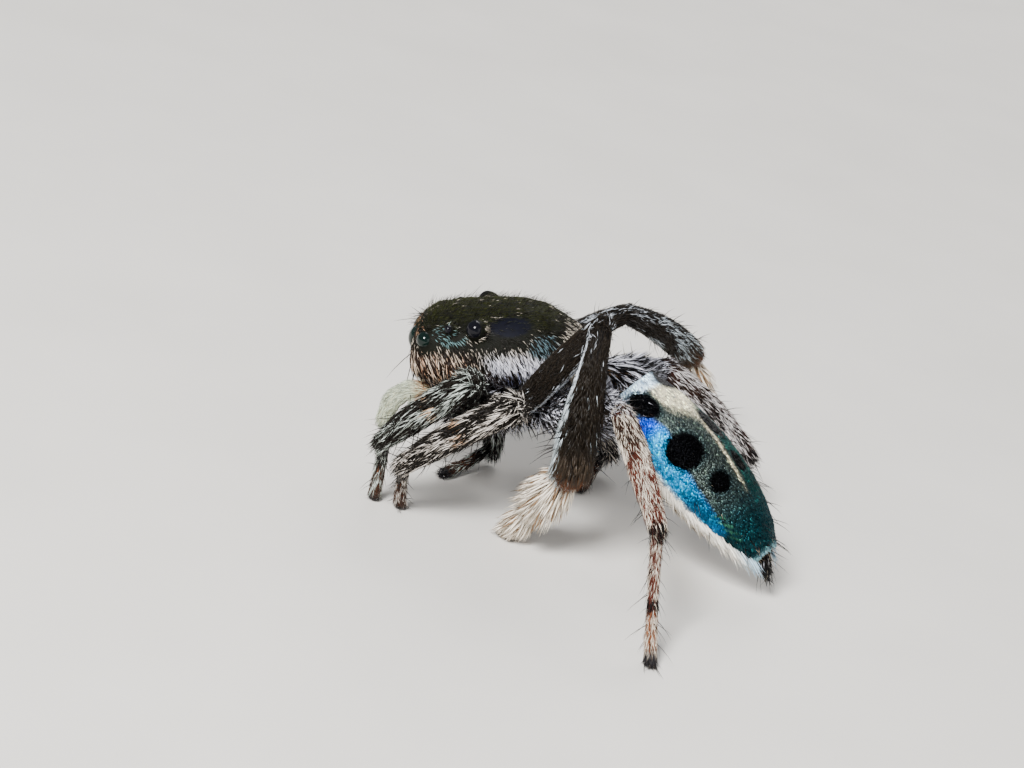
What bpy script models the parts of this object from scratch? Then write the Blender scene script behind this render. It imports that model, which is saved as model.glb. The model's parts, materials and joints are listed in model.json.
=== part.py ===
"""Male peacock spider at life size, standing with its left side to the viewer.

The spider faces -X, its left side is -Y and the floor is z = 0. Lengths are in
millimetres while the parts are modelled, and the finished meshes are scaled to metres.
"""
import math
import random

import bmesh
import bpy
from mathutils import Matrix, Vector
from mathutils.bvhtree import BVHTree

MM = 0.001
GAP = 0.025
CENTRE = Vector((2.012, 0.175, 0.0))

LEFT = -1
RIGHT = 1
SIDES = {"left": LEFT, "right": RIGHT}

# The front half of the body: x runs back from the face, z up from the carapace's rim
PROSOMA_AT = Vector((-0.10, 0.0, 1.21))
PROSOMA_PITCH = math.radians(15)
PROSOMA_ROLL = math.radians(4)
PROSOMA = (
    Matrix.Translation(PROSOMA_AT)
    @ Matrix.Rotation(-PROSOMA_PITCH, 4, "Y")
    @ Matrix.Rotation(-PROSOMA_ROLL, 4, "X")
)

# Sections of the carapace: distance from the face, half width, top and bottom
CARAPACE = (
    (0.00, 0.42, 0.66, 0.30),
    (0.08, 0.57, 0.80, 0.19),
    (0.25, 0.65, 0.91, 0.08),
    (0.55, 0.70, 0.96, 0.00),
    (0.90, 0.72, 0.98, 0.00),
    (1.25, 0.71, 0.98, 0.00),
    (1.55, 0.66, 0.92, 0.00),
    (1.82, 0.57, 0.75, 0.02),
    (2.05, 0.44, 0.52, 0.05),
    (2.18, 0.26, 0.34, 0.12),
)
STERNUM = (
    (0.42, 0.12, -0.06, -0.26),
    (0.52, 0.22, -0.03, -0.32),
    (0.85, 0.29, -0.03, -0.36),
    (1.30, 0.29, -0.03, -0.36),
    (1.66, 0.22, -0.03, -0.32),
    (1.78, 0.11, -0.06, -0.25),
)
SECTION_SIDES = 16
STERNUM_SIDES = 10
SECTION_WAIST = 0.36
SECTION_POWER = 2.5

# Eyes: place from the face's middle on the left side, and radius
EYES = {
    "front_middle": (Vector((0.13, 0.215, 0.56)), 0.18),
    "front_side": (Vector((0.19, 0.53, 0.63)), 0.10),
    "small": (Vector((0.48, 0.625, 0.79)), 0.05),
    "rear": (Vector((0.80, 0.65, 0.80)), 0.11),
}
EYE_SEGMENTS = 10
EYE_RINGS = 7

CHELICERA_PATH = (Vector((0.26, 0.15, -0.08)), Vector((0.10, 0.14, -0.44)))
CHELICERA_RADII = (0.13, 0.13, 0.07)
# The left palp is held up before the face, the right one hangs beside the jaw
PALP_PATHS = {
    "left": (
        Vector((0.24, 0.40, -0.05)),
        Vector((0.00, 0.46, 0.02)),
        Vector((-0.22, 0.45, -0.12)),
        Vector((-0.34, 0.42, -0.38)),
    ),
    "right": (
        Vector((0.24, 0.42, -0.10)),
        Vector((0.08, 0.46, -0.20)),
        Vector((-0.05, 0.45, -0.44)),
        Vector((-0.09, 0.43, -0.70)),
    ),
}
PALP_RADII = (0.09, 0.12, 0.13, 0.10)

PEDICEL_RADIUS = 0.10
SPINNERET_RADII = (0.09, 0.08, 0.06)
SPINNERET_LENGTH = 0.20
SPINNERET_DROP = 0.04

# The abdomen: its axis, the tilt that shows its back to the viewer, and its half
# width at steps from front to tip
ABDOMEN_FRONT = Vector((2.10, 0.00, 1.98))
ABDOMEN_TIP = Vector((4.40, -0.90, 0.56))
ABDOMEN_BACK = Vector((0.401, -0.326, 0.856))
ABDOMEN_WIDTHS = (0.13, 0.28, 0.37, 0.43, 0.47, 0.49, 0.48, 0.45, 0.38, 0.27, 0.08)
ABDOMEN_HEIGHT = 0.92
PLATE_START = 0.12
PLATE_END = 0.985
PLATE_HALF_ANGLE = math.radians(95)
PLATE_FOLD_ANGLE = math.radians(54)
PLATE_THICKNESS = 0.05
PLATE_ROWS = 13

# Leg pairs: hip place in the front half, segment lengths and radii
PAIRS = {
    1: {"hip": (0.58, 0.40, -0.24), "lengths": (0.86, 1.20, 0.90)},
    2: {"hip": (0.90, 0.48, -0.26), "lengths": (1.02, 1.45, 0.78)},
    3: {"hip": (1.24, 0.48, -0.26), "lengths": (1.80, 1.66, 1.50)},
    4: {"hip": (1.56, 0.38, -0.24), "lengths": (1.58, 1.56, 1.45)},
}
FEMUR_RADII = {1: (0.11, 0.18, 0.13), 2: (0.11, 0.18, 0.13), 3: (0.11, 0.18, 0.13), 4: (0.11, 0.20, 0.13)}
SHIN_RADII = {1: (0.13, 0.16, 0.10), 2: (0.13, 0.16, 0.10), 3: (0.13, 0.18, 0.19), 4: (0.13, 0.14, 0.10)}
FOOT_RADII = {1: (0.08, 0.07, 0.08), 2: (0.08, 0.07, 0.08), 3: (0.12, 0.11, 0.09), 4: (0.08, 0.07, 0.08)}
FEMUR_BOW = {1: 0.06, 2: 0.06, 3: 0.16, 4: -0.06}
SHIN_BOW = 0.07
FOOT_BOW = -0.03
TOE_HEIGHT = 0.07

# The pose: (yaw from straight ahead, pitch) in degrees for femur and shin, yaw for the foot
POSE = {
    ("left", 1): ((97, 44), (20, -44), -94),
    ("left", 2): ((111, 29), (7, -42), -96),
    ("left", 3): ((139, 60), (98, -68), -52),
    ("left", 4): ((126, 25), (119, -27), 117),
    ("right", 1): ((92, 15), (218, -63), -59),
    ("right", 2): ((116, 8), (174, -41), -74),
    ("right", 3): ((127, 26), (130, -25), 125),
    ("right", 4): ((148, 13), (176, -34), 93),
}
TUBE_STEPS = 5
TUBE_ROUNDNESS = 2

# Locks of hair. On each leg segment: how many, how long, how wide, and how far they
# stand off the leg, in degrees
SEED = 17
LOCK_SINK = 0.06
LOCK_THICKNESS = 0.4
LOCK_SHARES = {"root": 0.8, "middle": 1.0, "late": 0.6, "tip": 0.1}
LOCK_VARIETY = 0.15
LOCK_TRIES = (1.0, 0.75, 0.5)
GOLDEN_ANGLE = math.radians(137.5)
TUFTS = {
    ("femur", 1): (6, 0.40, 0.17, 28),
    ("femur", 2): (6, 0.44, 0.17, 28),
    ("femur", 3): (7, 0.38, 0.14, 18),
    ("femur", 4): (9, 0.44, 0.16, 26),
    ("shin", 1): (13, 0.46, 0.17, 30),
    ("shin", 2): (14, 0.48, 0.17, 30),
    ("shin", 3): (16, 0.46, 0.20, 20),
    ("shin", 4): (12, 0.40, 0.15, 24),
    ("foot", 1): (6, 0.30, 0.12, 22),
    ("foot", 2): (6, 0.30, 0.12, 22),
    ("foot", 3): (20, 0.46, 0.16, 28),
    ("foot", 4): (9, 0.34, 0.11, 24),
}
TUFT_REACH = {"femur": (0.10, 0.74), "shin": (0.06, 0.82), "foot": (0.06, 0.90)}
PALP_REACH = (0.15, 0.90)

# Hair on the carapace's sides: rows by height and reach from the face, then lock sizes
CHEEK_ROWS = ((0.30, 0.12, 1.60, 7), (0.55, 0.98, 1.80, 4))
CHEEK_LOCK = (0.42, 0.19, 14)
CHEEK_SWEEP = Vector((0.45, 0.0, -0.9))
FACE_LOCKS = 5
FACE_LOCK = (0.32, 0.14, 26)
FACE_HEIGHT = 0.30
FACE_SPREAD = 0.36

# Hair along the free edge of each flap, and in rows under the abdomen by angle and count
FRINGE_LOCKS = 10
FRINGE_LOCK = (0.42, 0.17, 4)
FRINGE_REACH = (0.16, 0.92)
FRINGE_ROOT = 0.96
FRINGE_HEIGHT = 0.11
BELLY_ROWS = ((125, 5), (152, 6), (180, 5), (-152, 6), (-125, 5))
BELLY_LOCK = (0.46, 0.19, 15)
BELLY_REACH = (0.18, 0.92)
PALP_LOCKS = 7
PALP_LOCK = (0.22, 0.13, 14)

COLOURS = {
    "carapace": (0.025, 0.022, 0.018),
    "sternum": (0.030, 0.024, 0.020),
    "eye": (0.004, 0.004, 0.005),
    "front_eye": (0.010, 0.030, 0.022),
    "chelicera": (0.060, 0.035, 0.020),
    "palp": (0.560, 0.600, 0.500),
    "pedicel": (0.060, 0.040, 0.030),
    "abdomen": (0.380, 0.330, 0.260),
    "plate": (0.020, 0.090, 0.110),
    "flap": (0.030, 0.330, 0.520),
    "dark_leg": (0.030, 0.026, 0.024),
    "white_foot": (0.800, 0.760, 0.700),
    "brown_leg": (0.260, 0.130, 0.090),
}


def clear_scene():
    for item in list(bpy.data.objects):
        bpy.data.objects.remove(item, do_unlink=True)


def make_material(name, roughness=0.6):
    material = bpy.data.materials.get(name)
    if material is None:
        material = bpy.data.materials.new(name)
        material.use_nodes = True
        shader = material.node_tree.nodes["Principled BSDF"]
        shader.inputs["Base Color"].default_value = (*COLOURS[name], 1.0)
        shader.inputs["Roughness"].default_value = roughness
        shader.inputs["Metallic"].default_value = 0.0
    return material


def add_part(collection, name, mesh, material, roughness=0.6):
    """Put a mesh in the spider's collection as one named part."""
    part = bpy.data.objects.new(name, mesh)
    collection.objects.link(part)
    mesh.materials.clear()
    mesh.materials.append(make_material(material, roughness))
    return part


def mesh_from_bmesh(name, shape):
    bmesh.ops.recalc_face_normals(shape, faces=shape.faces)
    mesh = bpy.data.meshes.new(name)
    shape.to_mesh(mesh)
    shape.free()
    return mesh


def loft(name, rings):
    """Skin a list of rings of equal count into one closed mesh with flat ends."""
    shape = bmesh.new()
    levels = []
    for ring in rings:
        levels.append([shape.verts.new(point) for point in ring])
    count = len(levels[0])
    for lower, upper in zip(levels, levels[1:]):
        for i in range(count):
            j = (i + 1) % count
            shape.faces.new((lower[i], lower[j], upper[j], upper[i]))
    shape.faces.new(levels[0])
    shape.faces.new(levels[-1])
    return mesh_from_bmesh(name, shape)


def body_section(x, half_width, top, bottom, sides):
    """A ring like a jumping spider's front half: flat top, steep sides, flat belly."""
    waist = bottom + SECTION_WAIST * (top - bottom)
    ring = []
    for i in range(sides):
        angle = 2 * math.pi * (i + 0.5) / sides
        across = abs(math.cos(angle)) ** (2 / SECTION_POWER)
        along = abs(math.sin(angle)) ** (2 / SECTION_POWER)
        reach = top - waist if math.sin(angle) > 0 else bottom - waist
        y = math.copysign(half_width * across, math.cos(angle))
        ring.append(PROSOMA @ Vector((x, y, waist + reach * along)))
    return ring


def three_point(values, s):
    """A smooth run through start, middle and end values."""
    start, middle, end = values
    return start * (1 - s) * (1 - 2 * s) + 4 * middle * s * (1 - s) + end * s * (2 * s - 1)


def tube_mesh(name, points, radii, round_start=True, round_end=True):
    """A closed tube along points, its ends rounded over, from a bevelled curve."""
    knots = [(Vector(point), radius) for point, radius in zip(points, radii)]
    if round_start:
        outward = (knots[0][0] - knots[1][0]).normalized()
        knots = round_cap(knots[0], outward)[::-1] + knots
    if round_end:
        outward = (knots[-1][0] - knots[-2][0]).normalized()
        knots = knots + round_cap(knots[-1], outward)
    curve = bpy.data.curves.new(name, "CURVE")
    curve.dimensions = "3D"
    curve.bevel_depth = 1.0
    curve.bevel_resolution = TUBE_ROUNDNESS
    curve.use_fill_caps = True
    spline = curve.splines.new("POLY")
    spline.points.add(len(knots) - 1)
    for knot, (point, radius) in zip(spline.points, knots):
        knot.co = (*point, 1.0)
        knot.radius = radius
    guide = bpy.data.objects.new(name, curve)
    bpy.context.scene.collection.objects.link(guide)
    bpy.context.view_layer.update()
    evaluated = guide.evaluated_get(bpy.context.evaluated_depsgraph_get())
    mesh = bpy.data.meshes.new_from_object(evaluated)
    bpy.data.objects.remove(guide, do_unlink=True)
    bpy.data.curves.remove(curve)
    shape = bmesh.new()
    shape.from_mesh(mesh)
    bpy.data.meshes.remove(mesh)
    bmesh.ops.remove_doubles(shape, verts=shape.verts, dist=0.0001)
    return mesh_from_bmesh(name, shape)


def round_cap(knot, outward):
    """Two more knots that close a tube's end like a ball."""
    point, radius = knot
    cap = []
    for angle in (math.radians(40), math.radians(72)):
        cap.append((point + outward * radius * math.sin(angle), radius * math.cos(angle)))
    return cap


def apply_modifiers(part):
    """Turn a part and its modifiers into a plain mesh."""
    bpy.context.view_layer.update()
    evaluated = part.evaluated_get(bpy.context.evaluated_depsgraph_get())
    result = bpy.data.meshes.new_from_object(evaluated)
    part.modifiers.clear()
    used = part.data
    part.data = result
    bpy.data.meshes.remove(used)


def with_pieces(target, pieces, operation="UNION"):
    """Join to a part, or cut from it, a set of closed meshes, all at once."""
    tools = bpy.data.collections.new("tools")
    bpy.context.scene.collection.children.link(tools)
    for mesh in pieces:
        tool = bpy.data.objects.new("tool", mesh)
        tool.hide_render = True
        tool.display_type = "WIRE"
        tools.objects.link(tool)
    modifier = target.modifiers.new("join", "BOOLEAN")
    modifier.operation = operation
    modifier.solver = "MANIFOLD"
    modifier.operand_type = "COLLECTION"
    modifier.collection = tools
    apply_modifiers(target)
    for tool in list(tools.objects):
        mesh = tool.data
        bpy.data.objects.remove(tool, do_unlink=True)
        bpy.data.meshes.remove(mesh)
    bpy.data.collections.remove(tools)


def trim(target, place, outward):
    """Cut a part off flat: what lies past the plane at place goes."""
    shape = bmesh.new()
    shape.from_mesh(target.data)
    geometry = shape.verts[:] + shape.edges[:] + shape.faces[:]
    bmesh.ops.bisect_plane(
        shape, geom=geometry, dist=0.00001, plane_co=place, plane_no=outward, clear_outer=True
    )
    rim = [edge for edge in shape.edges if edge.is_boundary]
    bmesh.ops.holes_fill(shape, edges=rim, sides=0)
    bmesh.ops.recalc_face_normals(shape, faces=shape.faces)
    shape.to_mesh(target.data)
    shape.free()


def sphere_mesh(name, centre, radius, segments=EYE_SEGMENTS, rings=EYE_RINGS):
    shape = bmesh.new()
    bmesh.ops.create_uvsphere(shape, u_segments=segments, v_segments=rings, radius=radius)
    bmesh.ops.translate(shape, verts=shape.verts, vec=centre)
    return mesh_from_bmesh(name, shape)


def mirrored(vector, side):
    return Vector((vector[0], side * abs(vector[1]), vector[2]))


def eye_places():
    for eye, (place, radius) in EYES.items():
        for side_name, side in SIDES.items():
            yield eye, side_name, PROSOMA @ mirrored(place, side), radius


def build_carapace(parts):
    rings = [body_section(*station, SECTION_SIDES) for station in CARAPACE]
    carapace = add_part(parts, "carapace", loft("carapace", rings), "carapace", 0.45)
    sockets = [
        sphere_mesh("socket", place, radius + GAP) for eye, side_name, place, radius in eye_places()
    ]
    with_pieces(carapace, sockets, "DIFFERENCE")
    for eye, side_name, place, radius in eye_places():
        colour = "front_eye" if eye.startswith("front") else "eye"
        name = f"eye_{eye}_{side_name}"
        ball = add_part(parts, name, sphere_mesh(name, place, radius), colour, 0.05)
        ball.data.shade_smooth()


def direction(side, yaw, pitch):
    yaw = math.radians(yaw)
    pitch = math.radians(pitch)
    return Vector((-math.cos(yaw) * math.cos(pitch), side * math.sin(yaw) * math.cos(pitch), math.sin(pitch)))


def leg_joints(side_name, number):
    """Hip, knee, ankle and toe of a leg; the toe comes down to the floor."""
    side = SIDES[side_name]
    femur_length, shin_length, foot_length = PAIRS[number]["lengths"]
    femur_turn, shin_turn, foot_yaw = POSE[(side_name, number)]
    hip = PROSOMA @ mirrored(PAIRS[number]["hip"], side)
    knee = hip + femur_length * direction(side, *femur_turn)
    ankle = knee + shin_length * direction(side, *shin_turn)
    drop = math.degrees(math.asin((ankle.z - TOE_HEIGHT) / foot_length))
    toe = ankle + foot_length * direction(side, foot_yaw, -drop)
    return hip, knee, ankle, toe


def limb_path(start, end, bow, away):
    """Points from start to end that bulge by bow to the side that away points to."""
    chord = end - start
    sideways = away - chord * away.dot(chord) / chord.length_squared
    sideways.normalize()
    points = []
    for i in range(TUBE_STEPS):
        s = i / (TUBE_STEPS - 1)
        points.append(start + chord * s + sideways * 4 * bow * s * (1 - s))
    return points


def limb_radii(radii):
    return [three_point(radii, i / (TUBE_STEPS - 1)) for i in range(TUBE_STEPS)]


def mitre(before, joint, after):
    """The plane between two segments that meet at a joint, as its normal."""
    return ((joint - before).normalized() + (after - joint).normalized()).normalized()


def leg_segments(side_name, number):
    """Each segment's name, the points along its middle and its three radii."""
    hip, knee, ankle, toe = leg_joints(side_name, number)
    outward = Vector((0, SIDES[side_name], 0.5))
    above = outward + Vector((0, 0, 1))
    return (
        ("femur", limb_path(hip, knee, FEMUR_BOW[number], outward), FEMUR_RADII[number]),
        ("shin", limb_path(knee, ankle, SHIN_BOW, above), SHIN_RADII[number]),
        ("foot", limb_path(ankle, toe, FOOT_BOW, above), FOOT_RADII[number]),
    )


def build_leg(parts, side_name, number):
    side = SIDES[side_name]
    hip, knee, ankle, toe = leg_joints(side_name, number)
    colour = "brown_leg" if number == 4 else "dark_leg"
    foot_colour = "white_foot" if number == 3 else colour
    colours = {"femur": colour, "shin": colour, "foot": foot_colour}
    pieces = {}
    for segment, path, radii in leg_segments(side_name, number):
        name = f"leg_{side_name}_{number}_{segment}"
        pieces[segment] = add_part(parts, name, tube_mesh(name, path, limb_radii(radii)), colours[segment])
    normal = mitre(coxa_start(side, number), hip, knee)
    trim(pieces["femur"], hip + normal * GAP / 2, -normal)
    normal = mitre(hip, knee, ankle)
    trim(pieces["femur"], knee - normal * GAP / 2, normal)
    trim(pieces["shin"], knee + normal * GAP / 2, -normal)
    normal = mitre(knee, ankle, toe)
    trim(pieces["shin"], ankle - normal * GAP / 2, normal)
    trim(pieces["foot"], ankle + normal * GAP / 2, -normal)
    trim(pieces["foot"], Vector((0, 0, 0)), Vector((0, 0, -1)))


def coxa_start(side, number):
    """Where a leg's first short segment leaves the sternum."""
    x, y, z = PAIRS[number]["hip"]
    middle = (PAIRS[1]["hip"][0] + PAIRS[4]["hip"][0]) / 2
    return PROSOMA @ Vector((middle + (x - middle) * 0.7, side * y * 0.3, -0.19))


def build_sternum(parts):
    rings = [body_section(*station, STERNUM_SIDES) for station in STERNUM]
    sternum = add_part(parts, "sternum", loft("sternum", rings), "sternum")
    stubs = []
    for side_name, number in POSE:
        side = SIDES[side_name]
        hip, knee, ankle, toe = leg_joints(side_name, number)
        inner = coxa_start(side, number)
        radius = FEMUR_RADII[number][0]
        reach = (hip - inner).normalized() * radius
        name = f"coxa_{side_name}_{number}"
        stub = bpy.data.objects.new(name, tube_mesh(name, (inner, hip, hip + reach), [radius] * 3))
        normal = mitre(inner, hip, knee)
        trim(stub, hip - normal * GAP / 2, normal)
        stubs.append(stub.data)
        bpy.data.objects.remove(stub)
    with_pieces(sternum, stubs)


def build_mouth(parts):
    for side_name, side in SIDES.items():
        name = f"chelicera_{side_name}"
        path = [PROSOMA @ mirrored(point, side) for point in CHELICERA_PATH]
        middle = (path[0] + path[1]) / 2
        tube = tube_mesh(name, (path[0], middle, path[1]), CHELICERA_RADII)
        add_part(parts, name, tube, "chelicera", 0.4)
        name = f"palp_{side_name}"
        path = [PROSOMA @ mirrored(point, side) for point in PALP_PATHS[side_name]]
        add_part(parts, name, tube_mesh(name, path, PALP_RADII), "palp", 0.9)


def abdomen_axes():
    length = (ABDOMEN_TIP - ABDOMEN_FRONT).length
    along = (ABDOMEN_TIP - ABDOMEN_FRONT) / length
    back = (ABDOMEN_BACK - along * ABDOMEN_BACK.dot(along)).normalized()
    across = back.cross(along)
    return length, along, back, across


def abdomen_point(s, angle, clearance):
    """A point at angle from the midline of the back, clearance outside the body."""
    length, along, back, across = abdomen_axes()
    place = s * (len(ABDOMEN_WIDTHS) - 1)
    i = min(int(place), len(ABDOMEN_WIDTHS) - 2)
    blend = place - i
    width = ABDOMEN_WIDTHS[i] * (1 - blend) + ABDOMEN_WIDTHS[i + 1] * blend
    height = width * ABDOMEN_HEIGHT
    reach_across = (width + clearance) * math.sin(angle)
    reach_back = (height + clearance) * math.cos(angle)
    return ABDOMEN_FRONT + along * length * s + across * reach_across + back * reach_back


def build_abdomen(parts):
    steps = 2 * (len(ABDOMEN_WIDTHS) - 1)
    rings = []
    for i in range(steps + 1):
        turns = [2 * math.pi * k / SECTION_SIDES for k in range(SECTION_SIDES)]
        rings.append([abdomen_point(i / steps, turn, 0.0) for turn in turns])
    add_part(parts, "abdomen", loft("abdomen", rings), "abdomen", 0.9)


def build_plate(parts, name, low, high, columns, colour):
    """One fold of the back's shield: an open surface made solid outward."""
    shape = bmesh.new()
    grid = []
    for i in range(PLATE_ROWS + 1):
        s = PLATE_START + (PLATE_END - PLATE_START) * i / PLATE_ROWS
        line = []
        for k in range(columns + 1):
            angle = low + (high - low) * k / columns
            line.append(shape.verts.new(abdomen_point(s, angle, GAP)))
        grid.append(line)
    for near, far in zip(grid, grid[1:]):
        for k in range(columns):
            shape.faces.new((near[k], far[k], far[k + 1], near[k + 1]))
    mesh = bpy.data.meshes.new(name)
    shape.to_mesh(mesh)
    shape.free()
    plate = add_part(parts, name, mesh, colour, 0.35)
    solid = plate.modifiers.new("thickness", "SOLIDIFY")
    solid.thickness = PLATE_THICKNESS
    solid.offset = 1.0
    apply_modifiers(plate)


def build_shield(parts):
    seam = GAP / 2 / max(ABDOMEN_WIDTHS)
    fold = PLATE_FOLD_ANGLE
    edge = PLATE_HALF_ANGLE
    build_plate(parts, "shield", -fold + seam, fold - seam, 8, "plate")
    build_plate(parts, "flap_left", -edge, -fold - seam, 3, "flap")
    build_plate(parts, "flap_right", fold + seam, edge, 3, "flap")


def build_waist_and_tail(parts):
    """The waist between the two halves, and the spinnerets under the tip."""
    rear_x, rear_width, rear_top, rear_bottom = CARAPACE[-1]
    rear = PROSOMA @ Vector((rear_x, 0.0, (rear_top + rear_bottom) / 2))
    rear_normal = PROSOMA.to_3x3() @ Vector((1.0, 0.0, 0.0))
    length, along, back, across = abdomen_axes()
    reach = (ABDOMEN_FRONT - rear).normalized() * PEDICEL_RADIUS
    ends = (rear - reach, (rear + ABDOMEN_FRONT) / 2, ABDOMEN_FRONT + reach)
    tube = tube_mesh("pedicel", ends, [PEDICEL_RADIUS] * 3, False, False)
    pedicel = add_part(parts, "pedicel", tube, "pedicel")
    trim(pedicel, rear + rear_normal * GAP, -rear_normal)
    trim(pedicel, ABDOMEN_FRONT - along * GAP, along)

    start = ABDOMEN_TIP - back * SPINNERET_DROP
    aim = (along + Vector((0, 0, -1))).normalized()
    ends = (start, start + aim * SPINNERET_LENGTH / 2, start + aim * SPINNERET_LENGTH)
    spinnerets = add_part(parts, "spinnerets", tube_mesh("spinnerets", ends, SPINNERET_RADII), "sternum")
    trim(spinnerets, ABDOMEN_TIP + along * GAP, -along)


def lock_mesh(root, normal, lie, length, width, lift):
    """A flat lock that tapers to a tip: it rises off the surface and bends back to it."""
    lift = math.radians(lift)
    rise = (lie * math.cos(lift) + normal * math.sin(lift)).normalized()
    settle = (lie * math.cos(lift / 3) + normal * math.sin(lift / 3)).normalized()
    across = lie.cross(normal).normalized()
    middle = root + rise * length * 0.5
    late = middle + settle * length * 0.28
    tip = middle + settle * length * 0.5
    shape = bmesh.new()
    rings = []
    for place, course, share in (
        (root - normal * LOCK_SINK, rise, LOCK_SHARES["root"]),
        (middle, rise, LOCK_SHARES["middle"]),
        (late, settle, LOCK_SHARES["late"]),
    ):
        half = across * width * share / 2
        thin = across.cross(course).normalized() * width * share * LOCK_THICKNESS / 2
        rings.append([shape.verts.new(place + step) for step in (half, thin, -half, -thin)])
    for lower, upper in zip(rings, rings[1:]):
        for i in range(4):
            j = (i + 1) % 4
            shape.faces.new((lower[i], lower[j], upper[j], upper[i]))
    point = shape.verts.new(tip)
    for i in range(4):
        shape.faces.new((rings[-1][i], rings[-1][(i + 1) % 4], point))
    shape.faces.new(rings[0])
    line = [root + (middle - root) * 0.6, middle, late, tip]
    return mesh_from_bmesh("lock", shape), line


def surface_of(mesh):
    """A search tree over a mesh's faces."""
    shape = bmesh.new()
    shape.from_mesh(mesh)
    tree = BVHTree.FromBMesh(shape)
    shape.free()
    return tree


def is_clear(mesh, line, width, surfaces, own):
    """True where a lock stays off the floor and off every other part."""
    lock = surface_of(mesh)
    for name, tree in surfaces.items():
        if name != own and tree.overlap(lock):
            return False
    for place, share in zip(line, LOCK_SHARES.values()):
        room = width * share / 2 + GAP
        if place.z < room:
            return False
        for name, tree in surfaces.items():
            if name == own:
                continue
            if tree.find_nearest(place, room)[0] is not None:
                return False
    return True


def grow_locks(parts, surfaces, name, spots):
    """Join locks to a part, each one shortened until it clears the other parts."""
    locks = []
    for root, normal, lie, length, width, lift in spots:
        for scale in LOCK_TRIES:
            mesh, line = lock_mesh(root, normal, lie, length * scale, width, lift * scale)
            if is_clear(mesh, line, width, surfaces, name):
                locks.append(mesh)
                break
            bpy.data.meshes.remove(mesh)
    part = parts.objects[name]
    if locks:
        with_pieces(part, locks)
        keep_largest(part)
    surfaces[name] = surface_of(part.data)


def keep_largest(part):
    """Leave only the part's largest closed surface."""
    shape = bmesh.new()
    shape.from_mesh(part.data)
    left = set(shape.verts)
    islands = []
    while left:
        island = [left.pop()]
        for vert in island:
            for edge in vert.link_edges:
                other = edge.other_vert(vert)
                if other in left:
                    left.remove(other)
                    island.append(other)
        islands.append(island)
    islands.sort(key=len, reverse=True)
    for island in islands[1:]:
        bmesh.ops.delete(shape, geom=island, context="VERTS")
    shape.to_mesh(part.data)
    shape.free()


def varied(length, chance):
    return length * chance.uniform(1 - LOCK_VARIETY, 1 + LOCK_VARIETY)


def even_steps(first, last, count):
    """The middles of equal steps from first to last."""
    return [first + (last - first) * (i + 0.5) / count for i in range(count)]


def leg_spots(path, radii, tuft, reach, chance):
    """Roots that wind along a leg segment, the locks lying toward the foot."""
    count, length, width, lift = tuft
    side = (path[-1] - path[0]).orthogonal().normalized()
    steps = len(path) - 1
    for i, s in enumerate(even_steps(*reach, count)):
        place = s * steps
        k = min(int(place), steps - 1)
        centre = path[k].lerp(path[k + 1], place - k)
        lie = (path[k + 1] - path[k]).normalized()
        turn = Matrix.Rotation(i * GOLDEN_ANGLE + chance.uniform(-0.2, 0.2), 3, lie)
        normal = turn @ (side - lie * side.dot(lie)).normalized()
        root = centre + normal * three_point(radii, s) * 0.95
        yield root, normal, lie, varied(length, chance), width, varied(lift, chance)


def cheek_spots(surface, side, chance):
    """Roots in rows along the carapace's side, the hair sweeping down and back."""
    turn = PROSOMA.to_3x3()
    inward = turn @ Vector((0.0, -side, 0.0))
    length, width, lift = CHEEK_LOCK
    for height, start, end, count in CHEEK_ROWS:
        for x in even_steps(start, end, count):
            outside = PROSOMA @ Vector((x, side * 2.0, height + chance.uniform(-0.05, 0.05)))
            place, normal, index, distance = surface.ray_cast(outside, inward)
            if place is None:
                continue
            lie = turn @ CHEEK_SWEEP
            lie = (lie - normal * lie.dot(normal)).normalized()
            yield place, normal, lie, varied(length, chance), width, lift


def face_spots(surface, chance):
    """Roots under the front eyes, the hair hanging over the jaws."""
    turn = PROSOMA.to_3x3()
    length, width, lift = FACE_LOCK
    for y in even_steps(-FACE_SPREAD, FACE_SPREAD, FACE_LOCKS):
        outside = PROSOMA @ Vector((-1.0, y, FACE_HEIGHT))
        place, normal, index, distance = surface.ray_cast(outside, turn @ Vector((1.0, 0.0, 0.0)))
        if place is None:
            continue
        lie = turn @ Vector((0.1, y, -1.0))
        lie = (lie - normal * lie.dot(normal)).normalized()
        yield place, normal, lie, varied(length, chance), width, lift


def fringe_spots(edge, chance):
    """Roots along a flap's free edge, the fringe pointing out and back."""
    length, width, lift = FRINGE_LOCK
    abdomen_length, along, back, across = abdomen_axes()
    for s in even_steps(*FRINGE_REACH, FRINGE_LOCKS):
        inner = abdomen_point(s, edge * FRINGE_ROOT, FRINGE_HEIGHT)
        outer = abdomen_point(s, edge, FRINGE_HEIGHT)
        course = (outer - inner).normalized()
        lie = (course * 0.7 + along * 0.8).normalized()
        normal = (outer - ABDOMEN_FRONT - along * (outer - ABDOMEN_FRONT).dot(along)).normalized()
        yield inner, normal, lie, varied(length, chance), width, lift


def belly_spots(chance):
    """Roots in rows under the abdomen, the hair lying toward its tip."""
    length, width, lift = BELLY_LOCK
    abdomen_length, along, back, across = abdomen_axes()
    for turn, count in BELLY_ROWS:
        angle = math.radians(turn)
        for s in even_steps(*BELLY_REACH, count):
            normal = (back * math.cos(angle) + across * math.sin(angle)).normalized()
            yield abdomen_point(s, angle, -0.01), normal, along, varied(length, chance), width, lift


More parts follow.
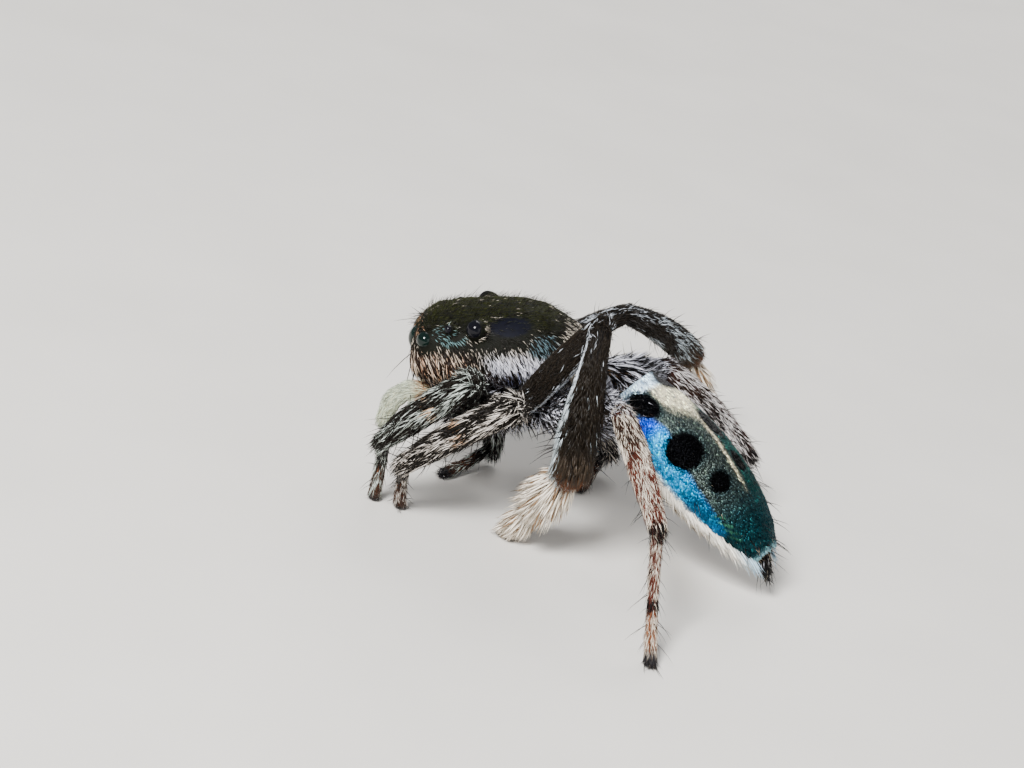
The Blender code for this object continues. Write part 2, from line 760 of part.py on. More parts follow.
def build_coats(parts):
    chance = random.Random(SEED)
    surfaces = {part.name: surface_of(part.data) for part in parts.objects}
    carapace = surfaces["carapace"]
    spots = list(face_spots(carapace, chance))
    for side in SIDES.values():
        spots += list(cheek_spots(carapace, side, chance))
    grow_locks(parts, surfaces, "carapace", spots)
    for side_name, edge in (("left", -PLATE_HALF_ANGLE), ("right", PLATE_HALF_ANGLE)):
        grow_locks(parts, surfaces, f"flap_{side_name}", list(fringe_spots(edge, chance)))
    grow_locks(parts, surfaces, "abdomen", list(belly_spots(chance)))
    for side_name, side in SIDES.items():
        path = [PROSOMA @ mirrored(point, side) for point in PALP_PATHS[side_name]]
        spots = leg_spots(path, PALP_RADII[1:], (PALP_LOCKS, *PALP_LOCK), PALP_REACH, chance)
        grow_locks(parts, surfaces, f"palp_{side_name}", list(spots))
    for side_name, number in POSE:
        for segment, path, radii in leg_segments(side_name, number):
            tuft = TUFTS[(segment, number)]
            spots = leg_spots(path, radii, tuft, TUFT_REACH[segment], chance)
            grow_locks(parts, surfaces, f"leg_{side_name}_{number}_{segment}", list(spots))


def finish(parts):
    """Centre the spider over the origin and bring it to metres."""
    to_metres = Matrix.Scale(MM, 4) @ Matrix.Translation(-CENTRE)
    for part in parts.objects:
        part.data.transform(to_metres)
        part.data.update()


def main():
    clear_scene()
    parts = bpy.data.collections.new("peacock_spider")
    bpy.context.scene.collection.children.link(parts)
    build_carapace(parts)
    build_mouth(parts)
    build_sternum(parts)
    for side_name, number in POSE:
        build_leg(parts, side_name, number)
    build_waist_and_tail(parts)
    build_abdomen(parts)
    build_shield(parts)
    build_coats(parts)
    finish(parts)


main()
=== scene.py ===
"""Dresses the peacock spider: its skin, eyes, claws, shield and every coat of hair.

The solids come in as a fixed frame in metres. The sizes below repeat the spider's own
in millimetres, so that the skin lies inside the solids by the depth of its coat.
"""
import json
import math

import bmesh
import bpy
import numpy as np
from mathutils import Matrix, Vector
from mathutils.kdtree import KDTree

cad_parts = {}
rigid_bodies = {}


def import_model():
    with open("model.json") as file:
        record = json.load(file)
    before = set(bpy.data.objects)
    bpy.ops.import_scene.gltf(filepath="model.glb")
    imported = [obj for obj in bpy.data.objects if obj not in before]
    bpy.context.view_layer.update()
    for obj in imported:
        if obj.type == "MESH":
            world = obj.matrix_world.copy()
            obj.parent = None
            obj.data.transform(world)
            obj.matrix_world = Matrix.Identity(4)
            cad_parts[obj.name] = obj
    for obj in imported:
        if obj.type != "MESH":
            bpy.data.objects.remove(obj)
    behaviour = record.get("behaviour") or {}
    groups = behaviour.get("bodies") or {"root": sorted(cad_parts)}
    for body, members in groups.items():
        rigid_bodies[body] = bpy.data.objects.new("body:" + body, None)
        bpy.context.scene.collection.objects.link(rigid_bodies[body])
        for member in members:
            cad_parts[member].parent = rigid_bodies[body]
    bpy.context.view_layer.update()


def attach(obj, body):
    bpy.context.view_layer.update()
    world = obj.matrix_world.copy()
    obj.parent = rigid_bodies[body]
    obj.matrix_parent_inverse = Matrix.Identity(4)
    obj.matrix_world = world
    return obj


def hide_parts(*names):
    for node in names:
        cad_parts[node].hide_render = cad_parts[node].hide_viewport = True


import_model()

bl_info = {
    "name": "Peacock Spider Dressing",
    "version": (1, 0, 0),
    "blender": (4, 5, 0),
    "location": "View3D > Sidebar > Spider",
    "description": "Skin, eyes, shield scales and hair of a life-size peacock spider",
    "category": "Object",
}

BODY = "root"

# The spider's own sizes, in millimetres. -X is ahead, -Y its left, z = 0 the floor
MM = 0.001
CENTRE = Vector((2.012, 0.175, 0.0))
TO_METRES = Matrix.Scale(MM, 4) @ Matrix.Translation(-CENTRE)
SIDES = {"left": -1, "right": 1}
PROSOMA = (
    Matrix.Translation(Vector((-0.10, 0.0, 1.21)))
    @ Matrix.Rotation(math.radians(-15), 4, "Y")
    @ Matrix.Rotation(math.radians(-4), 4, "X")
)

# Sections of the front half: x, half width, top and bottom
CARAPACE = (
    (0.00, 0.42, 0.66, 0.30),
    (0.08, 0.57, 0.80, 0.19),
    (0.25, 0.65, 0.91, 0.08),
    (0.55, 0.70, 0.96, 0.00),
    (0.90, 0.72, 0.98, 0.00),
    (1.25, 0.71, 0.98, 0.00),
    (1.55, 0.66, 0.92, 0.00),
    (1.82, 0.57, 0.75, 0.02),
    (2.05, 0.44, 0.52, 0.05),
    (2.18, 0.26, 0.34, 0.12),
)
STERNUM = (
    (0.42, 0.12, -0.06, -0.26),
    (0.52, 0.22, -0.03, -0.32),
    (0.85, 0.29, -0.03, -0.36),
    (1.30, 0.29, -0.03, -0.36),
    (1.66, 0.22, -0.03, -0.32),
    (1.78, 0.11, -0.06, -0.25),
)
STERNUM_JOIN = 0.20
SECTION_WAIST = 0.36
SECTION_POWER = 2.5
SECTION_SIDES = 48
CARAPACE_STEPS = 44
STERNUM_STEPS = 20

# Each eye's middle and radius, and its socket's place behind it, depth and rim
EYES = {
    "front_middle": (Vector((0.13, 0.215, 0.56)), 0.18),
    "front_side": (Vector((0.19, 0.53, 0.63)), 0.10),
    "small": (Vector((0.48, 0.625, 0.79)), 0.05),
    "rear": (Vector((0.80, 0.65, 0.80)), 0.11),
}
SOCKET_SHIFT = (0.02, 0.02, 0.01)
SOCKET_DEPTH = 0.004
SOCKET_RIM = 0.014

CHELICERA_PATH = (Vector((0.26, 0.15, -0.08)), Vector((0.10, 0.14, -0.44)))
CHELICERA_RADII = (0.13, 0.13, 0.07)
CHELICERA_STEPS = 9
PALP_PATHS = {
    "left": ((0.24, 0.40, -0.05), (0.00, 0.46, 0.02), (-0.22, 0.45, -0.12), (-0.34, 0.42, -0.38)),
    "right": ((0.24, 0.42, -0.10), (0.08, 0.46, -0.20), (-0.05, 0.45, -0.44), (-0.09, 0.43, -0.70)),
}
PALP_RADII = (0.08, 0.11, 0.12, 0.09)
PALP_STEPS = 16
PEDICEL_RADIUS = 0.10
SPINNERET_RADII = (0.085, 0.075, 0.05)
SPINNERET_LENGTH = 0.20
SPINNERET_DROP = 0.04

# The abdomen: its ends, where its back faces and its half widths at even steps
ABDOMEN_FRONT = Vector((2.10, 0.00, 1.98))
ABDOMEN_TIP = Vector((4.40, -0.90, 0.56))
ABDOMEN_BACK = Vector((0.401, -0.326, 0.856))
ABDOMEN_WIDTHS = (0.13, 0.28, 0.37, 0.43, 0.47, 0.49, 0.48, 0.45, 0.38, 0.27, 0.08)
ABDOMEN_HEIGHT = 0.92
ABDOMEN_STEPS = 40
PLATE_START = 0.12
PLATE_END = 0.985
PLATE_HALF_ANGLE = 95.0

# Each pair of legs: its hip, the lengths and radii of femur, shin and foot, and how far
# the femur bows
SLIM_RADII = ((0.11, 0.18, 0.13), (0.13, 0.16, 0.10), (0.08, 0.07, 0.08))
BRUSH_RADII = ((0.11, 0.18, 0.13), (0.13, 0.18, 0.19), (0.12, 0.11, 0.09))
REAR_RADII = ((0.11, 0.20, 0.13), (0.13, 0.14, 0.10), (0.08, 0.07, 0.08))
PAIRS = {
    1: ((0.58, 0.40, -0.24), (0.86, 1.20, 0.90), SLIM_RADII, 0.06),
    2: ((0.90, 0.48, -0.26), (1.02, 1.45, 0.78), SLIM_RADII, 0.06),
    3: ((1.24, 0.48, -0.26), (1.80, 1.66, 1.50), BRUSH_RADII, 0.16),
    4: ((1.56, 0.38, -0.24), (1.58, 1.56, 1.45), REAR_RADII, -0.06),
}
SHIN_BOW = 0.07
FOOT_BOW = -0.03
TOE_HEIGHT = 0.07
LIMB_STEPS = 24
COXA_SPREAD = 0.7
COXA_REACH = 0.3
COXA_HEIGHT = -0.19
WAIST_OVERLAP = 0.1
# Turn and pitch of femur and shin, and turn of the foot, in degrees
POSE = {
    ("left", 1): ((97, 44), (20, -44), -94),
    ("left", 2): ((111, 29), (7, -42), -96),
    ("left", 3): ((139, 60), (98, -68), -52),
    ("left", 4): ((126, 25), (119, -27), 117),
    ("right", 1): ((92, 15), (218, -63), -59),
    ("right", 2): ((116, 8), (174, -41), -74),
    ("right", 3): ((127, 26), (130, -25), 125),
    ("right", 4): ((148, 13), (176, -34), 93),
}
SEGMENTS = ("femur", "shin", "foot")

# Regions of the skin. Each leg has its first region, then its side and its pair
SHELL, UNDERSIDE, JAW, PALP, WAIST, BELLY, TAIL = range(7)
LEGS = [(10 + 3 * index, *leg) for index, leg in enumerate(POSE)]

# How much slimmer the skin is than the solids, which carry the coat, and its grain
SKIN_INSET = 0.012
VOXEL = 0.028
CAP_ANGLES = (0.6, 1.1, 1.45)

# The view: the picture's middle, its scale at the spider and how the camera is turned
IMAGE_WIDTH = 1024
PIXELS_PER_MM = 85.0
AIM = Vector((1.024, -0.3, 1.576))
ELEVATION = math.radians(22)
ROLL = math.radians(15)
LENS = 100.0
SENSOR = 36.0


def srgb(red, green, blue):
    """A colour from 0 to 255, as shown on screen, made linear."""
    values = []
    for value in (red, green, blue):
        value = value / 255
        values.append(value / 12.92 if value <= 0.04045 else ((value + 0.055) / 1.055) ** 2.4)
    return np.array(values)


# Hair
BLACK_HAIR = srgb(10, 9, 9)
SOOT_HAIR = srgb(24, 20, 15)
SHADE_HAIR = srgb(32, 26, 19)
CLAW_HAIR = srgb(44, 42, 44)
OLIVE_HAIR = srgb(44, 47, 18)
BROWN_HAIR = srgb(70, 48, 36)
DUN_HAIR = srgb(74, 62, 50)
TARSUS_HAIR = srgb(124, 76, 48)
BRUSH_SHADE = srgb(140, 112, 84)
ORANGE_HAIR = srgb(196, 118, 58)
PALP_BASE_HAIR = srgb(176, 128, 92)
BROW_HAIR = srgb(180, 140, 110)
TAN_HAIR = srgb(192, 142, 96)
WARM_HAIR = srgb(212, 178, 150)
BELLY_HAIR = srgb(206, 192, 168)
CREAM_HAIR = srgb(228, 216, 198)
WHITE_HAIR = srgb(244, 233, 216)
SILVER_HAIR = srgb(228, 228, 238)
ICE_HAIR = srgb(190, 208, 212)
MIST_HAIR = srgb(194, 206, 190)
PALP_HAIR = srgb(216, 224, 202)
BLUE_HAIR = srgb(112, 140, 150)
VIOLET_HAIR = srgb(150, 156, 190)
CYAN_HAIR = srgb(126, 166, 168)

# Skin
SHELL_SKIN = srgb(13, 14, 8)
BARE_SKIN = srgb(6, 7, 17)
UNDERSIDE_SKIN = srgb(30, 24, 20)
JAW_SKIN = srgb(74, 48, 32)
PALP_SKIN = srgb(176, 178, 150)
BELLY_SKIN = srgb(112, 92, 72)
RUST_SKIN = srgb(92, 46, 36)
FOOT_SKIN = srgb(120, 72, 44)
BRUSH_SKIN = srgb(132, 102, 76)
TARSUS_SKIN = srgb(136, 88, 60)


def number(name, description, default, low, high, **more):
    """A number that a user may change."""
    return bpy.props.FloatProperty(
        name=name, description=description, default=default, min=low, max=high, **more
    )


def length(name, description, default, low, high):
    """A length in metres, finer than a hundredth of a millimetre."""
    unit = {"precision": 6, "subtype": "DISTANCE", "unit": "LENGTH"}
    return number(name, description, default, low, high, **unit)


def colour_choice(name, description, default):
    return bpy.props.FloatVectorProperty(
        name=name, description=description, default=default, size=3,
        min=0.0, max=1.0, subtype="COLOR",
    )


class SpiderSizes(bpy.types.PropertyGroup):
    """Sizes of the coat, in metres, and how dense it is."""

    hair_length: length("Hair length", "Length of an ordinary body hair", 0.00016, 0.00002, 0.001)
    hair_width: number("Hair width", "Width of a hair as a share of its length", 0.060, 0.01, 0.5)
    hair_density: number(
        "Hair density", "Hairs on a square millimetre of full coat", 2300.0, 1.0, 10000.0
    )
    scale_density: number(
        "Scale density", "Scales on a square millimetre of the shield", 5200.0, 1.0, 20000.0
    )
    scale_length: length(
        "Scale length", "Length of one scale of the shield", 0.000052, 0.00001, 0.0005
    )
    bristle_length: length(
        "Bristle length", "Length of a long thin bristle", 0.00038, 0.00005, 0.001
    )


class SpiderColours(bpy.types.PropertyGroup):
    """Colours that a user may want to change."""

    eye: colour_choice("Eye", "Colour of the black eyes", (0.004, 0.004, 0.006))
    front_eye: colour_choice(
        "Front eye", "Colour deep in the large front eyes", (0.003, 0.009, 0.007)
    )
    claw: colour_choice("Claw", "Colour of the claws", (0.020, 0.014, 0.010))
    floor: colour_choice("Floor", "Colour of the floor under the spider", (0.70, 0.67, 0.62))


# Shapes shared with the solids

def table_rings(table, steps):
    """Rings at even steps along a table of sections, each a rounded box."""
    columns = list(zip(*table))
    rings = []
    for x in np.linspace(columns[0][0], columns[0][-1], steps):
        width, top, bottom = (float(np.interp(x, columns[0], column)) for column in columns[1:])
        waist = bottom + SECTION_WAIST * (top - bottom)
        ring = []
        for turn in ring_turns(SECTION_SIDES, 0.5):
            across = abs(math.cos(turn)) ** (2 / SECTION_POWER)
            along = abs(math.sin(turn)) ** (2 / SECTION_POWER)
            edge = top - SKIN_INSET if math.sin(turn) > 0 else bottom + SKIN_INSET
            y = math.copysign((width - SKIN_INSET) * across, math.cos(turn))
            ring.append(PROSOMA @ Vector((x, y, waist + (edge - waist) * along)))
        rings.append(ring)
    return rings


def ring_turns(sides, offset=0.0):
    return [2 * math.pi * (k + offset) / sides for k in range(sides)]


def three_point(values, s):
    start, middle, end = values
    return start * (1 - s) * (1 - 2 * s) + 4 * middle * s * (1 - s) + end * s * (2 * s - 1)


def tapered(radii, steps):
    """Radii at even steps along a limb, less the skin's inset."""
    return [three_point(radii, i / (steps - 1)) - SKIN_INSET for i in range(steps)]


def mirrored(vector, side):
    return Vector((vector[0], side * abs(vector[1]), vector[2]))


def direction(side, yaw, pitch):
    yaw = math.radians(yaw)
    pitch = math.radians(pitch)
    level = math.cos(pitch)
    return Vector((-math.cos(yaw) * level, side * math.sin(yaw) * level, math.sin(pitch)))


def leg_joints(side_name, pair_number):
    side = SIDES[side_name]
    hip, (femur_length, shin_length, foot_length), _, _ = PAIRS[pair_number]
    femur_turn, shin_turn, foot_yaw = POSE[(side_name, pair_number)]
    hip = PROSOMA @ mirrored(hip, side)
    knee = hip + femur_length * direction(side, *femur_turn)
    ankle = knee + shin_length * direction(side, *shin_turn)
    drop = math.degrees(math.asin((ankle.z - TOE_HEIGHT) / foot_length))
    toe = ankle + foot_length * direction(side, foot_yaw, -drop)
    return hip, knee, ankle, toe


def coxa_start(side, pair_number):
    x, y, _ = PAIRS[pair_number][0]
    middle = (PAIRS[1][0][0] + PAIRS[4][0][0]) / 2
    x = middle + (x - middle) * COXA_SPREAD
    return PROSOMA @ Vector((x, side * y * COXA_REACH, COXA_HEIGHT))


def limb_path(start, end, bow, away):
    chord = end - start
    sideways = away - chord * away.dot(chord) / chord.length_squared
    sideways.normalize()
    points = []
    for i in range(LIMB_STEPS):
        s = i / (LIMB_STEPS - 1)
        points.append(start + chord * s + sideways * 4 * bow * s * (1 - s))
    return points


def abdomen_axes():
    reach = (ABDOMEN_TIP - ABDOMEN_FRONT).length
    along = (ABDOMEN_TIP - ABDOMEN_FRONT) / reach
    back = (ABDOMEN_BACK - along * ABDOMEN_BACK.dot(along)).normalized()
    return reach, along, back, back.cross(along)


def abdomen_width(s):
    knots = range(len(ABDOMEN_WIDTHS))
    return np.interp(s * knots[-1], knots, ABDOMEN_WIDTHS)


def abdomen_point(s, angle, clearance):
    reach, along, back, across = abdomen_axes()
    width = float(abdomen_width(s))
    aside = (width + clearance) * math.sin(angle)
    up = (width * ABDOMEN_HEIGHT + clearance) * math.cos(angle)
    return ABDOMEN_FRONT + along * reach * s + across * aside + back * up


# The guide: every part of the flesh as a closed form, with what the coat needs to know

class Guide:
    """Closed forms in one pool. Each point's row has its region, place, turn and lie."""

    def __init__(self):
        self.points, self.faces, self.rows = [], [], []

    def add_rings(self, region, rings, places, turns, lies):
        start = len(self.points)
        count = len(turns)
        for ring, place, lie in zip(rings, places, lies):
            self.points += ring
            self.rows += [(region, place, turn, *lie) for turn in turns]
        last = start + (len(rings) - 1) * count
        for low in range(start, last, count):
            for k in range(count):
                j = (k + 1) % count
                self.faces.append((low + k, low + j, low + count + j, low + count + k))
        self.faces.append(tuple(range(start, start + count))[::-1])
        self.faces.append(tuple(range(last, last + count)))

    def add_tube(self, region, points, radii, outward, sides=18):
        """A tube with rounded ends; angle 0 is on its outward side."""
        steps = len(points) - 1
        knots = [(point, radius, i / steps) for i, (point, radius) in enumerate(zip(points, radii))]
        before = (points[0] - points[1]).normalized()
        after = (points[-1] - points[-2]).normalized()
        for angle in CAP_ANGLES:
            reach, width = math.sin(angle), math.cos(angle)
            knots.insert(0, (points[0] + before * (radii[0] * reach), radii[0] * width, 0.0))
            knots.append((points[-1] + after * (radii[-1] * reach), radii[-1] * width, 1.0))
        turns = ring_turns(sides)
        rings = []
        lies = []
        for i, (point, radius, _) in enumerate(knots):
            lie = (knots[min(i + 1, len(knots) - 1)][0] - knots[max(i - 1, 0)][0]).normalized()
            up = (outward - lie * outward.dot(lie)).normalized()
            side = lie.cross(up)
            rims = [up * math.cos(turn) + side * math.sin(turn) for turn in turns]
            rings.append([point + rim * radius for rim in rims])
            lies.append(lie)
        self.add_rings(region, rings, [knot[2] for knot in knots], turns, lies)

    def to_mesh(self, name):
        """The forms as one mesh, their faces turned outwards."""
        mesh = bpy.data.meshes.new(name)
        mesh.from_pydata([tuple(point) for point in self.points], [], self.faces)
        shape = bmesh.new()
        shape.from_mesh(mesh)
        bmesh.ops.recalc_face_normals(shape, faces=shape.faces)
        shape.to_mesh(mesh)
        shape.free()
        return mesh


def add_front_half(guide):
    turns = ring_turns(SECTION_SIDES, 0.5)
    back = PROSOMA.to_3x3() @ Vector((1.0, 0.0, 0.0))
    joined = [(x, width, top + STERNUM_JOIN, bottom) for x, width, top, bottom in STERNUM]
    tables = ((SHELL, CARAPACE, CARAPACE_STEPS), (UNDERSIDE, joined, STERNUM_STEPS))
    for region, table, steps in tables:
        places = np.linspace(0, 1, steps)
        guide.add_rings(region, table_rings(table, steps), places, turns, [back] * steps)
    x, y, z = SOCKET_SHIFT
    for side_name, side in SIDES.items():
        for place, radius in EYES.values():
            centre = Vector((place.x + x, side * (place.y - y), place.z - z))
            ends = [PROSOMA @ (centre + Vector((0, 0, step * SOCKET_DEPTH))) for step in (-1, 0, 1)]
            guide.add_tube(SHELL, ends, [radius + SOCKET_RIM] * 3, Vector((0, side, 0.3)))
        start, end = (PROSOMA @ mirrored(point, side) for point in CHELICERA_PATH)
        points = [start.lerp(end, i / (CHELICERA_STEPS - 1)) for i in range(CHELICERA_STEPS)]
        radii = tapered(CHELICERA_RADII, CHELICERA_STEPS)
        guide.add_tube(JAW, points, radii, Vector((-1, side * 0.3, 0)))
        path = [PROSOMA @ mirrored(point, side) for point in PALP_PATHS[side_name]]
        points, radii = smooth_run(path, PALP_RADII, PALP_STEPS)
        guide.add_tube(PALP, points, radii, Vector((-0.3, side, 1)))


def smooth_run(path, radii, steps):
    """More points along a bent path, its corners rounded."""
    knots = np.array([[*point, radius] for point, radius in zip(path, radii)])
    places = np.linspace(0, len(path) - 1, steps)
    run = np.stack([np.interp(places, range(len(path)), column) for column in knots.T], axis=1)
    for _ in range(2):
        run[1:-1] = (run[:-2] + 2 * run[1:-1] + run[2:]) / 4
    return [Vector(row[:3]) for row in run], [float(row[3]) for row in run]


def add_leg(guide, first, side_name, pair_number):
    side = SIDES[side_name]
    joints = leg_joints(side_name, pair_number)
    _, _, radii, femur_bow = PAIRS[pair_number]
    outward = Vector((0, side, 0.5))
    above = outward + Vector((0, 0, 1))
    inner, hip = coxa_start(side, pair_number), joints[0]
    coxa_radii = [radii[0][0] - SKIN_INSET] * 3
    guide.add_tube(UNDERSIDE, [inner, (inner + hip) / 2, hip], coxa_radii, outward)
    bows = ((femur_bow, outward), (SHIN_BOW, above), (FOOT_BOW, above))
    for segment, (bow, away) in enumerate(bows):
        points = limb_path(joints[segment], joints[segment + 1], bow, away)
        guide.add_tube(first + segment, points, tapered(radii[segment], LIMB_STEPS), outward)


def add_rear_half(guide):
    turns = ring_turns(ABDOMEN_STEPS)
    _, along, back, _ = abdomen_axes()
    places = np.linspace(0, 1, ABDOMEN_STEPS)
    rings = [[abdomen_point(s, turn, -SKIN_INSET) for turn in turns] for s in places]
    guide.add_rings(BELLY, rings, places, turns, [along] * ABDOMEN_STEPS)
    upright = Vector((0, 0, 1))
    rear_x, _, rear_top, rear_bottom = CARAPACE[-1]
    rear = PROSOMA @ Vector((rear_x - WAIST_OVERLAP, 0.0, (rear_top + rear_bottom) / 2))
    front = ABDOMEN_FRONT + along * WAIST_OVERLAP
    guide.add_tube(WAIST, [rear, (rear + front) / 2, front], [PEDICEL_RADIUS] * 3, upright)
    start = ABDOMEN_TIP - back * SPINNERET_DROP
    aim = (along - upright).normalized()
    ends = [start, start + aim * SPINNERET_LENGTH / 2, start + aim * SPINNERET_LENGTH]
    guide.add_tube(TAIL, ends, SPINNERET_RADII, upright)


# Meshes and objects

def evaluated_mesh(item):
    bpy.context.view_layer.update()
    graph = bpy.context.evaluated_depsgraph_get()
    return bpy.data.meshes.new_from_object(
        item.evaluated_get(graph), preserve_all_data_layers=True, depsgraph=graph
    )


def new_object(name, mesh):
    item = bpy.data.objects.new(name, mesh)
    bpy.context.scene.collection.objects.link(item)
    return item


def vertex_values(mesh, field):
    """The points' places or normals, one row for each."""
    values = np.empty(len(mesh.vertices) * 3)
    mesh.vertices.foreach_get(field, values)
    return values.reshape(-1, 3)


def give_attribute(mesh, name, values):
    """Store an array on a mesh's points: one number, three or four for each."""
    values = np.asarray(values, dtype=np.float32)
    kinds = {1: ("FLOAT", "value"), 3: ("FLOAT_VECTOR", "vector"), 4: ("FLOAT_COLOR", "color")}
    kind, field = kinds[1 if values.ndim == 1 else values.shape[1]]
    attribute = mesh.attributes.new(name, kind, "POINT")
    attribute.data.foreach_set(field, values.ravel())


def opaque(colours):
    return np.concatenate([colours, np.ones((len(colours), 1))], axis=1)


def finish_piece(item, slot_name, *nodes):
    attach(item, BODY)
    if nodes:
        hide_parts(*nodes)


# Markings. Each function takes arrays over the points of one region

def soft_step(value, low, high):
    """From 0 at low to 1 at high, eased."""
    t = np.clip((value - low) / (high - low), 0, 1)
    return t * t * (3 - 2 * t)


def soft_drop(value, low, high):
    return 1 - soft_step(value, low, high)


# Where a spot's rim begins and ends, as shares of its radius
RIM = (0.85, 1.15)


def spot(a, b, centre, radii):
    """1 inside an oval, falling to 0 past its rim."""
    distance = np.hypot((a - centre[0]) / radii[0], (b - centre[1]) / radii[1])
    return soft_drop(distance, *RIM)


def ring_at(s, middle, half):
    """1 on a stretch of a limb, falling to 0 past its ends."""
    return soft_drop(np.abs((s - middle) / half), *RIM)


class Markings:
    """Colours and growth over a set of points, painted region by region."""

    def __init__(self, count):
        self.colour = np.tile(BLACK_HAIR, (count, 1))
        self.dark = self.colour.copy()
        self.pale = np.tile(CREAM_HAIR, (count, 1))
        self.chance = np.full(count, 0.2)
        self.grow, self.long, self.rise = np.ones((3, count))
        self.spiny, self.fuzz, self.gloss = np.zeros((3, count))

    def brush(self, where):
        """A function that blends values into one region's fields, by weight."""

        def lay(weight=1.0, **fields):
            share = np.broadcast_to(weight, (int(where.sum()),))
            for field, value in fields.items():
                values = getattr(self, field)
                part = share[:, None] if values.ndim == 2 else share
                values[where] = values[where] * (1 - part) + value * part

        return lay


# Patches on the carapace: middle and radii in x and z, their least distance from the
# midline, and what grows there
SHELL_PATCHES = (
    ((1.22, 0.20), (0.11, 0.20), 0.3, {"pale": VIOLET_HAIR, "chance": 0.3}),
    ((1.55, 0.62), (0.17, 0.12), 0.3, {"pale": BLUE_HAIR, "chance": 0.42, "long": 0.7}),
    ((0.46, 0.71), (0.26, 0.09), 0.3, {"pale": CYAN_HAIR, "chance": 0.42, "long": 0.6}),
    ((0.06, 0.76), (0.10, 0.07), 0.0, {"pale": BROW_HAIR, "chance": 0.3, "long": 0.8}),
)


def mark_shell(lay, x, y, z):
    y = np.abs(y)
    top = soft_step(z, 0.6, 0.8)
    lay(colour=SHELL_SKIN, dark=SOOT_HAIR, long=0.55, chance=0.10 - 0.088 * top, gloss=0.1)
    lay(soft_step(z, 0.70, 0.86), dark=OLIVE_HAIR)
    # The silver band low on each side, then the striped cheek and the brown area between
    band = soft_drop(z, 0.46, 0.64) * soft_step(x, 0.72, 1.0) * soft_drop(x, 1.62, 1.86)
    lay(band, pale=SILVER_HAIR, chance=0.82, long=0.95 + 0.6 * soft_step(x, 1.0, 1.3))
    cheek = soft_drop(z, 0.44, 0.62) * soft_drop(x, 0.6, 0.9)
    streaks = soft_step(np.sin(x * 37 + 5 * y), 0.3, 0.9)
    lay(cheek, pale=WARM_HAIR, dark=BROWN_HAIR * 0.3, chance=0.36, long=1.6)
    lay(cheek * streaks * 0.45, pale=ORANGE_HAIR)
    lay(cheek * (1 - streaks) * 0.5, pale=CREAM_HAIR)
    slant = z - 0.52 + 0.35 * (x - 0.55)
    brown = 0.85 * soft_drop(slant, -0.08, 0.02) * soft_step(x, 0.55, 0.75)
    lay(brown * soft_drop(x, 1.2, 1.45), dark=BROWN_HAIR * 0.4, chance=0.16, long=0.6)
    lay(soft_step(x, 1.7, 1.9), pale=CREAM_HAIR, chance=0.5, long=1.1)
    for middle, radii, least, fields in SHELL_PATCHES:
        lay(spot(x, z, middle, radii) * (y >= least), **fields)
    # Bare shell behind the eyes and at the rear corner
    bare = spot(x, z, (1.19, 0.80), (0.235, 0.095)) * (y > 0.35)
    bare = np.maximum(bare, spot(x, z, (1.78, 0.42), (0.10, 0.17)) * (y > 0.3))
    lay(bare, grow=0.12, chance=0.0, gloss=0.12, colour=BARE_SKIN)
    for eye, (place, radius) in EYES.items():
        distance = np.sqrt((x - place.x) ** 2 + (y - place.y) ** 2 + (z - place.z) ** 2)
        lay(soft_drop(distance, radius + 0.006, radius + 0.016), grow=0.0)
        ring = soft_drop(distance, radius + 0.04, radius + 0.09)
        lay(ring, long=0.55)
        if eye == "rear":
            lay(ring, pale=CREAM_HAIR)
            lay(ring * (x > place.x - 0.05) * (z < place.z + 0.06), chance=0.45)
    lay(top, spiny=0.12, fuzz=1.0)
    lay(soft_drop(x, 0.2, 0.5), spiny=0.3)


def mark_front_leg(lay, side_name, segment, s, turn, stripes):
    """The first two pairs: dark, with stripes of pale strands."""
    lay(dark=SOOT_HAIR, chance=0.10 + 0.42 * stripes, long=1.35, rise=0.9)
    lay(0.25, pale=SILVER_HAIR)
    if segment == "femur":
        lay(chance=0.14, long=1.1, rise=0.8)
    elif segment == "shin":
        lay(ring_at(s, 0.40, 0.03) * 0.8, pale=TAN_HAIR)
    else:
        lay(soft_step(s, 0.3, 0.6), colour=FOOT_SKIN, dark=BROWN_HAIR)
        lay(long=0.95)


def mark_third_leg(lay, side_name, segment, s, turn, stripes):
    """The raised pair: black with one pale edge, a bushy shin and a white brush."""
    bulk = 1.0 if side_name == "left" else 0.3
    edge = soft_step(np.sin(turn), 0.82, 0.93)
    lay(pale=SILVER_HAIR, dark=SHADE_HAIR, chance=0.010 + 0.88 * edge * bulk, long=0.8, rise=0.7)
    lay(0.4, pale=ICE_HAIR)
    if segment == "shin":
        bushy = soft_step(s, 0.15, 0.6)
        joint = soft_step(s, 0.95, 0.99)
        lay(long=0.8 + 0.9 * bulk * bushy * (1 - 0.7 * joint), rise=0.7 + 0.5 * bulk * bushy)
        lay(0.5 * bushy, pale=ICE_HAIR)
        lay(0.6 * soft_step(s, 0.72, 0.9), dark=DUN_HAIR)
        lay(joint, dark=ORANGE_HAIR * 0.25)
        lay(soft_step(s, 0.6, 0.8), colour=BROWN_HAIR * 0.6)
        if side_name == "right":
            lay(ring_at(s, 0.62, 0.26) * stripes, chance=0.5)
    if segment == "foot":
        bush = 1 - 0.5 * ring_at(s, 0.56, 0.10) - 0.3 * soft_step(s, 0.6, 0.8)
        lay(pale=WHITE_HAIR, dark=BRUSH_SHADE, colour=BRUSH_SKIN, chance=0.80, fuzz=0.0)
        lay(long=2.0 * bush, rise=1.7 * bush)
        lay(ring_at(s, 0.56, 0.08), chance=0.6)
        lay(soft_drop(s, 0.01, 0.05), pale=ORANGE_HAIR * 0.6, dark=ORANGE_HAIR * 0.4)


